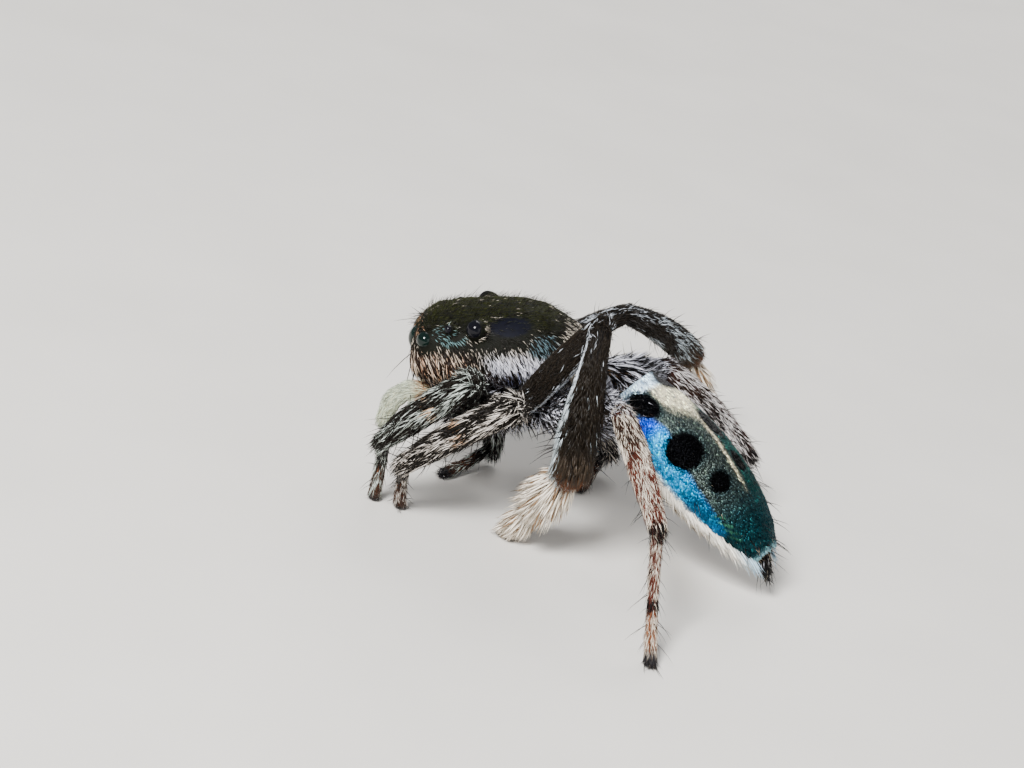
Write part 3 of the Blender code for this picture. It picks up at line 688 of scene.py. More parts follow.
def mark_fourth_leg(lay, side_name, segment, s, turn, stripes):
    """The rear pair: reddish brown with cream strands and dark rings."""
    lay(colour=RUST_SKIN * 0.7, dark=RUST_SKIN, chance=0.26 + 0.42 * stripes)
    lay(soft_step(-np.cos(turn), -0.1, 0.4), dark=BROWN_HAIR * 0.35)
    if side_name == "right":
        lay(0.75, dark=BLACK_HAIR)
        lay(0.5, pale=SILVER_HAIR)
        lay(0.7, colour=BLACK_HAIR)
    if segment == "femur":
        knee = soft_step(s, 0.6, 0.9)
        lay(dark=BLACK_HAIR, colour=BLACK_HAIR, pale=SILVER_HAIR, chance=0.4)
        lay(long=1.8 - 1.0 * knee, rise=1.6 - 0.8 * knee)
    elif segment == "shin":
        lay(soft_drop(s, 0.25, 0.5), dark=BROWN_HAIR * 0.5)
        lay(ring_at(s, 0.72, 0.14) * stripes, chance=0.75)
        lay(soft_step(s, 0.90, 0.95), dark=BLACK_HAIR, chance=0.08)
    else:
        lay(spiny=0.8, long=0.75)
        lay(ring_at(s, 0.56, 0.05), dark=BLACK_HAIR, chance=0.1)
        tarsus = soft_step(s, 0.62, 0.68)
        lay(tarsus, dark=TARSUS_HAIR, pale=CREAM_HAIR, chance=0.55, colour=TARSUS_SKIN)


LEG_MARKS = {1: mark_front_leg, 2: mark_front_leg, 3: mark_third_leg, 4: mark_fourth_leg}


def mark_skin(points, region, place, turn):
    """Every region's colours, for points in the spider's millimetres."""
    marks = Markings(len(points))
    inverse = np.array(PROSOMA.inverted())
    local = points @ inverse[:3, :3].T + inverse[:3, 3]
    where = region == SHELL
    mark_shell(marks.brush(where), *local[where].T)
    lay = marks.brush((region == UNDERSIDE) | (region == WAIST))
    lay(colour=UNDERSIDE_SKIN, pale=SILVER_HAIR, chance=0.4, long=1.9, rise=1.9)
    lay = marks.brush(region == JAW)
    lay(colour=JAW_SKIN, pale=WARM_HAIR, chance=0.4)
    where = region == PALP
    lay = marks.brush(where)
    lay(colour=PALP_SKIN, pale=PALP_HAIR, dark=PALP_HAIR * 0.42, chance=0.74, long=0.8)
    lay(soft_drop(place[where], 0.16, 0.30), pale=PALP_BASE_HAIR, dark=BROWN_HAIR)
    where = (region == BELLY) | (region == TAIL)
    lay = marks.brush(where)
    lay(colour=BELLY_SKIN, pale=BELLY_HAIR, dark=BROWN_HAIR, chance=0.78, long=1.4)
    lay(soft_drop(place[where], 0.14, 0.3), dark=BLACK_HAIR, pale=SILVER_HAIR, chance=0.4)
    rear = np.maximum(soft_step(place[where], 0.9, 0.97), region[where] == TAIL)
    lay(rear, dark=BLACK_HAIR, colour=BLACK_HAIR, chance=0.10, long=0.8, spiny=0.6)
    for first, side_name, pair_number in LEGS:
        for part, segment in enumerate(SEGMENTS):
            where = region == first + part
            lay = marks.brush(where)
            s, angle = place[where], turn[where]
            stripes = soft_step(np.cos(3 * angle + 2.2 * np.sin(5 * s)), -0.1, 0.6)
            lay(fuzz=0.15, pale=MIST_HAIR if pair_number == 1 else CREAM_HAIR)
            LEG_MARKS[pair_number](lay, side_name, segment, s, angle, stripes)
            if segment == "foot":
                tip = soft_step(s, 0.88, 0.94)
                lay(tip, dark=CLAW_HAIR, pale=CLAW_HAIR, colour=CLAW_HAIR, long=0.8)
    return marks, local


# The lie of the carapace's hair: back over the top, down its sides, down and out on the face
BACKWARD = np.array((1.0, 0.0, 0.0))
DOWNWARD = np.array((0.42, 0.0, -0.9))
FACE_LIE = (0.5, 0.3, -1.0)


def lie_of_hair(region, lie, local):
    """The lie along each limb, and over the carapace back, then down its sides."""
    lie = lie.copy()
    where = region == SHELL
    x, y, z = local[where].T
    down = (soft_drop(z, 0.55, 0.85) * soft_step(np.abs(y), 0.2, 0.5))[:, None]
    face = soft_drop(x, 0.05, 0.25)[:, None]
    back, out, up = FACE_LIE
    front = np.stack([np.full(len(x), back), out * np.sign(y), np.full(len(x), up)], axis=1)
    sweep = BACKWARD * (1 - down) + DOWNWARD * down
    sweep = sweep * (1 - face) + front * face
    lie[where] = sweep @ np.array(PROSOMA.to_3x3()).T
    return lie / np.linalg.norm(lie, axis=1)[:, None]


# The flesh

# Each area's slot, then its coat: density and length as shares of the ordinary ones, and
# how far its hairs lift and sway, in degrees
LEG_COATS = {"left": (1.6, 1.0, 16, 18), "right": (1.0, 1.1, 16, 18)}
AREAS = {
    "head_left": ("carapace", 1.3, 1.0, 12, 18),
    "head_right": ("carapace", 0.9, 1.1, 12, 18),
    "underside": ("underside", 1.2, 1.1, 20, 30),
    "mouth": ("mouthparts", 0.9, 0.9, 14, 20),
    "palps": ("palps", 1.6, 0.75, 14, 18),
    "belly": ("abdomen", 0.6, 1.2, 16, 24),
    "white_feet": ("white_feet", 1.6, 1.2, 20, 14),
    **{
        f"leg_{side_name}_{pair_number}": (
            "brown_legs" if pair_number == 4 else "dark_legs", *LEG_COATS[side_name],
        )
        for side_name, pair_number in POSE
    },
}
AREA_NAMES = list(AREAS)


def areas_of(region, local):
    """Which coat each point belongs to, as its number in AREAS."""
    left = local[:, 1] < 0
    parts = [
        ("head_left", (region == SHELL) & left),
        ("head_right", (region == SHELL) & ~left),
        ("mouth", region == JAW),
        ("palps", region == PALP),
        ("belly", (region == BELLY) | (region == TAIL)),
    ]
    for first, side_name, pair_number in LEGS:
        parts.append((f"leg_{side_name}_{pair_number}", (region >= first) & (region < first + 3)))
        if pair_number == 3:
            parts.append(("white_feet", region == first + 2))
    area = np.full(len(region), AREA_NAMES.index("underside"), dtype=np.int32)
    for name, where in parts:
        area[where] = AREA_NAMES.index(name)
    return area


NEIGHBOURS = 4
LEAST_DISTANCE = 0.002


def follow_guide(points, guide):
    """Region, place, turn and lie for each point, from the nearest points of the guide."""
    tree = KDTree(len(guide.points))
    for i, point in enumerate(guide.points):
        tree.insert(point, i)
    tree.balance()
    found = [[near[1:] for near in tree.find_n(point, NEIGHBOURS)] for point in points]
    nearest, distance = np.moveaxis(np.array(found), 2, 0)
    rows = np.array(guide.rows)[nearest.astype(int)]
    regions, places, turns = rows[:, :, :3].transpose(2, 0, 1)
    weight = 1 / (distance + LEAST_DISTANCE)
    weight *= regions == regions[:, :1]
    weight /= weight.sum(axis=1)[:, None]
    place = (places * weight).sum(axis=1)
    turn = np.arctan2((np.sin(turns) * weight).sum(axis=1), (np.cos(turns) * weight).sum(axis=1))
    return regions[:, 0], place, turn, rows[:, 0, 3:]


def build_skin():
    """The flesh as one closed skin, in millimetres, with its coat's data on its points."""
    guide = Guide()
    add_front_half(guide)
    for leg in LEGS:
        add_leg(guide, *leg)
    add_rear_half(guide)
    item = new_object("guide", guide.to_mesh("guide"))
    remesh = item.modifiers.new("join", "REMESH")
    remesh.mode = "VOXEL"
    remesh.voxel_size = VOXEL
    smooth = item.modifiers.new("soften", "SMOOTH")
    smooth.factor = 0.5
    smooth.iterations = 3
    skin = evaluated_mesh(item)
    bpy.data.objects.remove(item)
    skin.name = "skin"
    points = vertex_values(skin, "co")
    normals = vertex_values(skin, "normal")
    region, place, turn, lie = follow_guide(points, guide)
    marks, local = mark_skin(points, region, place, turn)
    lie = lie_of_hair(region, lie, local)
    lie -= normals * (lie * normals).sum(axis=1)[:, None]
    lie /= np.linalg.norm(lie, axis=1)[:, None] + 1e-9
    for field, values in vars(marks).items():
        give_attribute(skin, "skin_" + field, opaque(values) if values.ndim == 2 else values)
    give_attribute(skin, "skin_lie", lie)
    give_attribute(skin, "skin_full", np.ones(len(points)))
    corner = np.empty(len(skin.polygons), dtype=np.int32)
    skin.polygons.foreach_get("loop_start", corner)
    vertex = np.empty(len(skin.loops), dtype=np.int32)
    skin.loops.foreach_get("vertex_index", vertex)
    faces = skin.attributes.new("skin_area", "INT", "FACE")
    faces.data.foreach_set("value", areas_of(region, local)[vertex[corner]])
    unwrap(skin)
    return skin


def unwrap(mesh):
    """Lay the skin out flat, each patch by its own shape."""
    item = new_object("unwrap", mesh)
    bpy.context.view_layer.objects.active = item
    item.select_set(True)
    mesh.uv_layers.new(name="skin_uv")
    bpy.ops.object.mode_set(mode="EDIT")
    bpy.ops.mesh.select_all(action="SELECT")
    bpy.ops.uv.smart_project(angle_limit=math.radians(66), island_margin=0.002)
    bpy.ops.object.mode_set(mode="OBJECT")
    bpy.data.objects.remove(item)


# Node trees

def live(sockets):
    """The sockets that a node shows for its settings."""
    return [socket for socket in sockets if socket.enabled]


class Tree:
    """A small helper that adds nodes and joins them."""

    def __init__(self, tree):
        self.tree = tree

    def join(self, socket, value):
        """Give an input a constant or another node's output."""
        if isinstance(value, bpy.types.NodeSocket):
            self.tree.links.new(value, socket)
        else:
            socket.default_value = value

    def node(self, kind, *values, **named):
        """Add a node, its first inputs in order. Names in capitals are inputs, others settings."""
        node = self.tree.nodes.new(kind)
        for name in [name for name in named if name.islower()]:
            setattr(node, name, named.pop(name))
        for socket, value in zip(live(node.inputs), values):
            self.join(socket, value)
        for name, value in named.items():
            self.join(node.inputs[name.replace("_", " ")], value)
        return node

    def math(self, operation, *values):
        return self.node("ShaderNodeMath", *values, operation=operation).outputs[0]

    def times(self, first, *factors):
        for factor in factors:
            first = self.math("MULTIPLY", first, factor)
        return first

    def vector_math(self, operation, *values):
        return self.node("ShaderNodeVectorMath", *values, operation=operation).outputs[0]

    def field(self, name, data_type="FLOAT"):
        kind = "GeometryNodeInputNamedAttribute"
        return self.node(kind, data_type=data_type, Name=name).outputs[0]

    def chance(self, low, high, seed, salt):
        """A random number on each point."""
        seed = self.math("ADD", seed, float(salt))
        node = self.node("FunctionNodeRandomValue", low, high, data_type="FLOAT", Seed=seed)
        return node.outputs[1]

    def store(self, geometry, name, data_type, domain, value):
        node = self.node(
            "GeometryNodeStoreNamedAttribute", data_type=data_type, domain=domain,
            Geometry=geometry, Name=name,
        )
        self.join(live(node.inputs)[-1], value)
        return node.outputs[0]

    def forget(self, geometry, names):
        """Drop the named attributes that a wildcard fits."""
        kind = "GeometryNodeRemoveAttribute"
        return self.node(kind, pattern_mode="WILDCARD", Geometry=geometry, Name=names).outputs[0]


COAT_INPUTS = {
    "Geometry": "Geometry",
    "Tuft": "Object",
    "Material": "Material",
    "Area": "Int",
    "Mask": "String",
    "Density": "Float",
    "Length": "Float",
    "Lift": "Float",
    "Sway": "Float",
    "Sink": "Float",
    "Seed": "Int",
}
EVERY_AREA = -1
# The least and most of each hair's lift and length, as shares, and its width on the UV map
LIFT_SHARES = (0.55, 1.45)
LENGTH_SHARES = (0.72, 1.25)
UV_PATCH = 0.003


def coat_tree():
    """The one way that every coat grows: tufts on a skin, along the lie of its hair."""
    group = bpy.data.node_groups.new("coat", "GeometryNodeTree")
    for name, kind in COAT_INPUTS.items():
        group.interface.new_socket(name, in_out="INPUT", socket_type="NodeSocket" + kind)
    group.interface.new_socket("Geometry", in_out="OUTPUT", socket_type="NodeSocketGeometry")
    tree = Tree(group)
    given = tree.node("NodeGroupInput").outputs
    seed = given["Seed"]
    same = tree.node(
        "FunctionNodeCompare", tree.field("skin_area", "INT"), given["Area"],
        data_type="INT", operation="EQUAL",
    )
    anywhere = tree.math("LESS_THAN", given["Area"], 0.0)
    scatter = tree.node(
        "GeometryNodeDistributePointsOnFaces", distribute_method="RANDOM", Mesh=given["Geometry"],
        Selection=tree.math("MAXIMUM", same.outputs[0], anywhere), Seed=seed,
        Density=tree.times(given["Density"], tree.field(given["Mask"]), tree.field("skin_grow")),
    )
    normal = scatter.outputs["Normal"]

    turned = tree.node(
        "ShaderNodeVectorRotate", rotation_type="AXIS_ANGLE",
        Vector=tree.field("skin_lie", "FLOAT_VECTOR"), Axis=normal,
        Angle=tree.times(tree.chance(-1.0, 1.0, seed, 1), given["Sway"]),
    )
    lift = tree.times(tree.chance(*LIFT_SHARES, seed, 2), given["Lift"], tree.field("skin_rise"))
    along = tree.vector_math("SCALE", turned.outputs[0], tree.math("COSINE", lift))
    upright = tree.vector_math("SCALE", normal, tree.math("SINE", lift))
    aim = tree.node(
        "FunctionNodeAlignRotationToVector", axis="Z", pivot_axis="AUTO",
        Vector=tree.vector_math("ADD", along, upright),
    )
    roll = tree.node(
        "FunctionNodeAlignRotationToVector", axis="X", pivot_axis="Z",
        Vector=normal, Rotation=aim.outputs[0],
    )
    size = tree.chance(*LENGTH_SHARES, seed, 3)
    size = tree.times(size, given["Length"], tree.field("skin_long"))

    light = tree.math("LESS_THAN", tree.chance(0.0, 1.0, seed, 4), tree.field("skin_chance"))
    tint = tree.node(
        "ShaderNodeMix", light, tree.field("skin_dark", "FLOAT_COLOR"),
        tree.field("skin_pale", "FLOAT_COLOR"), data_type="RGBA", clamp_factor=True,
    )
    points = scatter.outputs["Points"]
    for name, kind, value in (
        ("tint", "FLOAT_COLOR", live(tint.outputs)[0]),
        ("vary", "FLOAT", tree.chance(0.0, 1.0, seed, 5)),
        ("root_uv", "FLOAT_VECTOR", tree.field("skin_uv", "FLOAT_VECTOR")),
    ):
        points = tree.store(points, name, kind, "POINT", value)
    sink = tree.vector_math("SCALE", normal, tree.times(given["Sink"], -1.0))
    sunk = tree.node("GeometryNodeSetPosition", Geometry=points, Offset=sink)

    tuft = tree.node(
        "GeometryNodeObjectInfo", transform_space="ORIGINAL",
        Object=given["Tuft"], As_Instance=True,
    )
    place = tree.node(
        "GeometryNodeInstanceOnPoints", Points=sunk.outputs[0],
        Instance=tuft.outputs["Geometry"], Rotation=roll.outputs[0], Scale=size,
    )
    bare = tree.forget(place.outputs[0], "skin_*")
    real = tree.node("GeometryNodeRealizeInstances", Geometry=bare)
    shift = tree.vector_math("SUBTRACT", tree.field("tuft_uv", "FLOAT_VECTOR"), (0.5, 0.5, 0.0))
    shift = tree.vector_math("SCALE", shift, UV_PATCH)
    patch = tree.vector_math("ADD", tree.field("root_uv", "FLOAT_VECTOR"), shift)
    baked = tree.store(real.outputs[0], "OFBake", "FLOAT2", "CORNER", patch)
    clean = tree.forget(baked, "*_uv")
    paint = tree.node("GeometryNodeSetMaterial", Geometry=clean, Material=given["Material"])
    tree.node("NodeGroupOutput", Geometry=paint.outputs[0])
    return group


def tuft_object(name, shares, width, thick, bend):
    """One hair along +Z, of length 1, bent back from +X: rings of three and a tip."""
    points = []
    uvs = []
    steps = len(shares)
    for i, share in enumerate(shares):
        s = i / steps
        out = -bend * s * s
        half = width * share / 2
        points += [(out + width * thick * share, 0.0, s), (out, half, s), (out, -half, s)]
        uvs += [(0.5, s), (1.0, s), (0.0, s)]
    points.append((-bend, 0.0, 1.0))
    uvs.append((0.5, 1.0))
    faces = []
    for low in range(0, 3 * (steps - 1), 3):
        for k in range(3):
            j = (k + 1) % 3
            faces.append((low + k, low + j, low + 3 + j, low + 3 + k))
    last = 3 * (steps - 1)
    faces += [(last + k, last + (k + 1) % 3, last + 3) for k in range(3)]
    faces.append((0, 2, 1))
    mesh = bpy.data.meshes.new(name)
    mesh.from_pydata(points, [], faces)
    give_attribute(mesh, "along", [point[2] for point in points])
    layer = mesh.uv_layers.new(name="tuft_uv")
    for loop in mesh.loops:
        layer.data[loop.index].uv = uvs[loop.vertex_index]
    mesh.shade_smooth()
    return new_object(name, mesh)


def grow_coat(name, skin, slot_name, lift, sway, mask="skin_full", area=EVERY_AREA, **given):
    """Grow one coat on a skin in millimetres and leave it as a plain mesh in metres."""
    given.update(Lift=math.radians(lift), Sway=math.radians(sway), Mask=mask, Area=area)
    group = bpy.data.node_groups.get("coat") or coat_tree()
    carrier = new_object(name + "_carrier", skin)
    modifier = carrier.modifiers.new("coat", "NODES")
    modifier.node_group = group
    for item in group.interface.items_tree:
        if item.in_out == "INPUT" and item.name in given:
            modifier[item.identifier] = given[item.name]
    mesh = evaluated_mesh(carrier)
    bpy.data.objects.remove(carrier)
    mesh.name = name
    keep_above_floor(mesh)
    mesh.transform(TO_METRES)
    mesh.update()
    finish_piece(new_object(name, mesh), slot_name)


# Hair lower than the room over the floor is pressed between the gap and that height
FLOOR_ROOM = 0.03
FLOOR_GAP = 0.003
FLOOR_EASE = 0.1
FLOOR_SHARE = 0.9


def keep_above_floor(mesh):
    """Press hair that would go through the floor, in millimetres, flat above it."""
    points = vertex_values(mesh, "co")
    heights = points[:, 2]
    low = heights < FLOOR_ROOM
    pressed = FLOOR_ROOM * np.exp((heights[low] - FLOOR_ROOM) / FLOOR_EASE)
    heights[low] = pressed * FLOOR_SHARE + FLOOR_GAP
    mesh.vertices.foreach_set("co", points.ravel())


# Materials

def new_material(name, roughness=0.5, shine=0.5):
    material = bpy.data.materials.new(name)
    material.use_nodes = True
    shader = material.node_tree.nodes["Principled BSDF"]
    shader.inputs["Roughness"].default_value = roughness
    shader.inputs["Specular IOR Level"].default_value = shine
    return material, Tree(material.node_tree), shader


def stored(tree, name, output="Color"):
    return tree.node("ShaderNodeAttribute", attribute_name=name).outputs[output]


def ramp(tree, factor, *stops):
    """A ramp through stops, each a position and a colour, or one number for a grey."""
    node = tree.node("ShaderNodeValToRGB", factor)
    elements = node.color_ramp.elements
    for i, (position, colour) in enumerate(stops):
        element = elements[i] if i < 2 else elements.new(position)
        element.position = position
        element.color = (*np.broadcast_to(colour, 3), 1.0)
    return node.outputs["Color"]


def multiply(tree, colour, factor):
    node = tree.node(
        "ShaderNodeMix", 1.0, colour, factor, data_type="RGBA", blend_type="MULTIPLY"
    )
    return live(node.outputs)[0]


def mottle(tree, scale, detail, low, high):
    """Noise over Object coordinates, as it is and as a ramp of greys."""
    place = tree.node("ShaderNodeTexCoord").outputs["Object"]
    noise = tree.node("ShaderNodeTexNoise", Vector=place, Scale=scale, Detail=detail).outputs[0]
    return noise, ramp(tree, noise, (0.3, low), (0.7, high))


def hair_material(name, roughness, root):
    """Hair in its own colour, with painted shade darkening it towards the root, and a little
    different on each tuft.
    """
    material, tree, shader = new_material(name, roughness, 0.18)
    # Painted shade: each hair darkens towards its root, where shade falls deep in the coat and
    # between tufts, and is a little brighter at its tip
    depth = ramp(tree, stored(tree, "along", "Fac"), (0.0, root), (0.45, 1.0), (1.0, 1.08))
    change = ramp(tree, stored(tree, "vary", "Fac"), (0.0, 0.72), (1.0, 1.2))
    colour = multiply(tree, multiply(tree, stored(tree, "tint"), depth), change)
    tree.join(shader.inputs["Base Color"], colour)
    return material


def skin_material():
    material, tree, shader = new_material("spider_skin", shine=0.08)
    noise, grain = mottle(tree, 24000.0, 4.0, 0.7, 1.25)
    tree.join(shader.inputs["Base Color"], multiply(tree, stored(tree, "skin_colour"), grain))
    gloss = tree.times(stored(tree, "skin_gloss", "Fac"), 0.45)
    tree.join(shader.inputs["Roughness"], tree.math("SUBTRACT", 0.70, gloss))
    bump = tree.node("ShaderNodeBump", Height=noise, Strength=0.35, Distance=0.000006)
    tree.join(shader.inputs["Normal"], bump.outputs[0])
    return material


def plain_material(name, colour, roughness, shine=0.5, depth=0.12, scale=9000.0):
    """One colour with a faint mottle."""
    material, tree, shader = new_material(name, roughness, shine)
    _, change = mottle(tree, scale, 3.0, 1 - depth, 1 + depth)
    tree.join(shader.inputs["Base Color"], multiply(tree, (*colour, 1.0), change))
    return material


def shield_material():
    material, tree, shader = new_material("shield_skin")
    _, grain = mottle(tree, 30000.0, 3.0, 0.45, 0.8)
    tree.join(shader.inputs["Base Color"], multiply(tree, stored(tree, "skin_colour"), grain))
    return material


def scale_material():
    """Shield scales: dark ones shine like thin metal, and a few are sparks of light."""
    material, tree, shader = new_material("shield_scales", 0.36, 0.12)
    tint = stored(tree, "tint")
    change = ramp(
        tree, stored(tree, "vary", "Fac"),
        (0.0, (0.3, 0.36, 0.45)), (0.45, 1.0), (0.9, (1.2, 1.25, 1.3)), (0.95, (2.6, 2.9, 2.6)),
    )
    tree.join(shader.inputs["Base Color"], multiply(tree, tint, change))
    lightness = tree.node("ShaderNodeRGBToBW", tint).outputs[0]
    metal = ramp(tree, lightness, (0.0, 1.0), (0.3, 0.7), (0.6, 0.0))
    tree.join(shader.inputs["Metallic"], metal)
    return material


# The shield's pattern, with painted sheen on its far half, by place along it and by angle in
# degrees from its midline

SHIELD_BASE = srgb(64, 72, 68)
BAND_STEPS = (0.25, 0.30, 0.34, 0.39, 0.46, 0.60, 0.70, 0.79)
BAND_ANGLES = (52, 50, 47, 50, 56, 64, 68, 72)
# Each black spot's place and angle, and its radii in millimetres
SPOTS = (
    (0.218, -47, (0.20, 0.115)),
    (0.462, -45, (0.225, 0.205)),
    (0.646, -35, (0.135, 0.120)),
    (0.175, 34, (0.160, 0.190)),
    (0.435, 19, (0.220, 0.115)),
    (0.622, 12, (0.150, 0.085)),
)
SPOT_RIM = 1.2


def shield_colours(s, angle):
    """The pattern's colour, with painted sheen on its far half, for arrays of places on the shield.
    """
    side = np.abs(angle)
    off = angle - (10 - 45 * (np.clip(s, 0.3, 0.75) - 0.3))
    inner = np.interp(s, BAND_STEPS, BAND_ANGLES)
    band = soft_step(side, inner - 5, inner + 5)
    band *= soft_step(s, 0.22, 0.28) * soft_drop(s, 0.72, 0.84)
    cream = soft_step(s, 0.14, 0.18) * soft_drop(s + 0.0030 * np.abs(off), 0.34, 0.44)
    cream *= soft_drop(np.abs(off + 4), 26, 38)
    slim = 3.6 - 1.4 * soft_step(s, 0.35, 0.55)
    stripe = np.exp(-((off / slim) ** 2)) * soft_step(s, 0.2, 0.3) * soft_drop(s, 0.64, 0.76)
    layers = [
        # Painted sheen: past the stripe, the far half is tinted teal, as its scales look at this
        # slant to the camera; the near half keeps the charcoal base
        (srgb(26, 76, 70), soft_step(off, 4, 10) * soft_step(s, 0.28, 0.36)),
        (srgb(18, 56, 62), soft_step(s, 0.62, 0.86)),
        (srgb(14, 64, 190), band),
        (srgb(8, 156, 212), band * soft_step(s, 0.29, 0.37)),
        (srgb(14, 96, 136), band * soft_step(s, 0.52, 0.66)),
        (srgb(206, 196, 164), cream * 0.9),
        (srgb(196, 218, 234), soft_drop(s + 0.0004 * side, 0.17, 0.20)),
        (srgb(216, 202, 168), stripe * 1.1),
    ]
    reach = (ABDOMEN_TIP - ABDOMEN_FRONT).length
    arc = np.radians(angle) * abdomen_width(s)
    for place, turn, radii in SPOTS:
        centre = (place * reach, math.radians(turn) * float(abdomen_width(place)))
        rim = spot(s * reach, arc, centre, [radius * SPOT_RIM for radius in radii])
        layers.append((srgb(44, 66, 70), rim * 0.4))
        layers.append((srgb(6, 6, 7), spot(s * reach, arc, centre, radii) * 1.2))
    gleam = soft_step(np.sin(s * 150 + side * 0.6), 0.1, 0.9)
    gleam *= spot(s, side, (0.80, 68.0), (0.08, 8.0))
    layers += [
        (srgb(70, 136, 104), gleam * 0.6),
        (srgb(206, 214, 214), soft_step(side, 88, 94) * 0.7),
        (srgb(150, 196, 204), soft_step(s, 0.955, 0.98) * 0.8),
    ]
    colour = np.tile(SHIELD_BASE, (len(s), 1))
    for new_colour, weight in layers:
        weight = np.clip(weight, 0, 1)[:, None]
        colour = colour * (1 - weight) + new_colour * weight
    return colour


SHIELD_FOLDS = (
    ("shield_skin", -54.0, 54.0, 60, "shield", "shield"),
    ("flap_left_skin", -95.0, -54.0, 24, "flap_left", "flaps"),
    ("flap_right_skin", 54.0, 95.0, 24, "flap_right", "flaps"),
)
SHIELD_STEPS = 90
SHIELD_COLUMNS = 108
SHIELD_CLEARANCE = 0.030
SHIELD_THICKNESS = 0.034
SHIELD_END_GAP = 0.004
SEAM_ANGLE = 0.4
RIPPLE = 0.004
RIPPLE_RATE = 90
FRINGE_WHITE = srgb(240, 234, 222)
FRINGE_BLUE = srgb(186, 212, 228)


def shield_mesh(name, low, high, columns, fringe_only=False):
    """A patch of the shield in millimetres, with its pattern on its points."""
    _, along, back, across = abdomen_axes()
    places = np.linspace(PLATE_START + SHIELD_END_GAP, PLATE_END - SHIELD_END_GAP, SHIELD_STEPS + 1)
    grid = np.array([(s, angle) for s in places for angle in np.linspace(low, high, columns + 1)])
    points = []
    for s, angle in grid:
        ripple = RIPPLE * math.sin(s * RIPPLE_RATE) * soft_step(abs(angle), 50, 80)
        clearance = SHIELD_CLEARANCE + float(ripple)
        points.append(tuple(abdomen_point(s, math.radians(angle), clearance)))
    row = columns + 1
    faces = []
    for start in range(0, SHIELD_STEPS * row, row):
        for first in range(start, start + columns):
            faces.append((first, first + row, first + row + 1, first + 1))
    mesh = bpy.data.meshes.new(name)
    mesh.from_pydata(points, [], faces)
    s, angle = grid.T
    side = np.abs(angle)
    pattern = hair = shield_colours(s, angle)
    spread = 0.5
    if fringe_only:
        tail = soft_step(s, 0.84, 0.95)[:, None]
        hair = FRINGE_WHITE * (1 - tail) + FRINGE_BLUE * tail
        spread = 1.0 - 0.7 * soft_step(s, 0.3, 0.8)
    turn = np.radians(angle)
    outward = np.outer(np.cos(turn), np.array(across)) - np.outer(np.sin(turn), np.array(back))
    lie = np.tile(np.array(along), (len(grid), 1))
    lie = lie + outward * (spread * (np.sign(angle) * soft_step(side, 20, 80)))[:, None]
    spiny = 0.35 * soft_step(side, 60, 90) + 0.9 * soft_step(angle, 12, 28)
    spiny = np.maximum(spiny * soft_step(s, 0.42, 0.6), soft_step(s, 0.8, 0.97))
    for field, values in {
        "colour": opaque(pattern), "dark": opaque(hair), "pale": opaque(hair),
        "chance": np.zeros(len(grid)), "lie": lie / np.linalg.norm(lie, axis=1)[:, None],
        "spiny": spiny, "fringe": soft_step(side, 87, 92),
        **dict.fromkeys(("grow", "long", "rise", "full"), np.ones(len(grid))),
    }.items():
        give_attribute(mesh, "skin_" + field, values)
    layer = mesh.uv_layers.new(name="skin_uv")
    for loop in mesh.loops:
        s, angle = grid[loop.vertex_index]
        layer.data[loop.index].uv = (0.03 + 0.94 * s, 0.5 + 0.46 * angle / PLATE_HALF_ANGLE)
    return mesh


def lifted_shield(name, distance, fringe_only=False):
    """The whole shield's surface, moved out along its own normals."""
    mesh = shield_mesh(name, -PLATE_HALF_ANGLE, PLATE_HALF_ANGLE, SHIELD_COLUMNS, fringe_only)
    points = vertex_values(mesh, "co") + vertex_values(mesh, "normal") * distance
    mesh.vertices.foreach_set("co", points.ravel())
    mesh.update()
    return mesh


# Operators, one for each piece or group of like pieces

FLESH = "flesh"
FLESH_NODES = [
    "carapace", "sternum", "pedicel", "abdomen", "spinnerets",
    "chelicera_left", "chelicera_right", "palp_left", "palp_right",
    *(f"leg_{side_name}_{pair_number}_{segment}"
      for side_name, pair_number in POSE for segment in SEGMENTS),
]
KEPT_ATTRIBUTES = ("skin_colour", "skin_gloss", "skin_uv")
HAIR_SINK = 0.006


def as_plain_piece(mesh, name, material, slot_name, nodes):
    """A finished piece from a mesh in millimetres, keeping only what its material reads."""
    mesh = mesh.copy()
    mesh.name = name
    for extra in [item.name for item in mesh.attributes if item.name.startswith("skin_")]:
        if extra not in KEPT_ATTRIBUTES:
            mesh.attributes.remove(mesh.attributes[extra])
    mesh.transform(TO_METRES)
    mesh.shade_smooth()
    mesh.materials.clear()
    mesh.materials.append(material)
    finish_piece(new_object(name, mesh), slot_name, *nodes)


class SPIDER_OT_skin(bpy.types.Operator):
    """Make the flesh under the coat as one skin"""

    bl_idname = "spider.skin"
    bl_label = "Skin"

    def execute(self, context):
        flesh = build_skin()
        flesh.name = FLESH
        flesh.use_fake_user = True
        as_plain_piece(flesh, "skin", skin_material(), "carapace", FLESH_NODES)
        return {"FINISHED"}


class SPIDER_OT_coats(bpy.types.Operator):
    """Grow the hair of the body and the legs"""

    bl_idname = "spider.coats"
    bl_label = "Hair coats"

    def execute(self, context):
        sizes = context.scene.spider_sizes
        ordinary = tuft_object("tuft_hair", (0.9, 0.85), sizes.hair_width, 0.5, 0.16)
        bushy = tuft_object("tuft_brush", (0.8, 1.0, 0.7), sizes.hair_width, 0.5, 0.22)
        hair = hair_material("hair", 0.36, 0.4)
        for area, (name, (slot_name, thick, long, lift, sway)) in enumerate(AREAS.items()):
            grow_coat(
                f"coat_{name}", bpy.data.meshes[FLESH], slot_name, lift, sway, area=area,
                Tuft=bushy if name == "white_feet" else ordinary, Material=hair,
                Density=sizes.hair_density * thick, Length=sizes.hair_length / MM * long,
                Sink=HAIR_SINK, Seed=area + 1,
            )
        return {"FINISHED"}


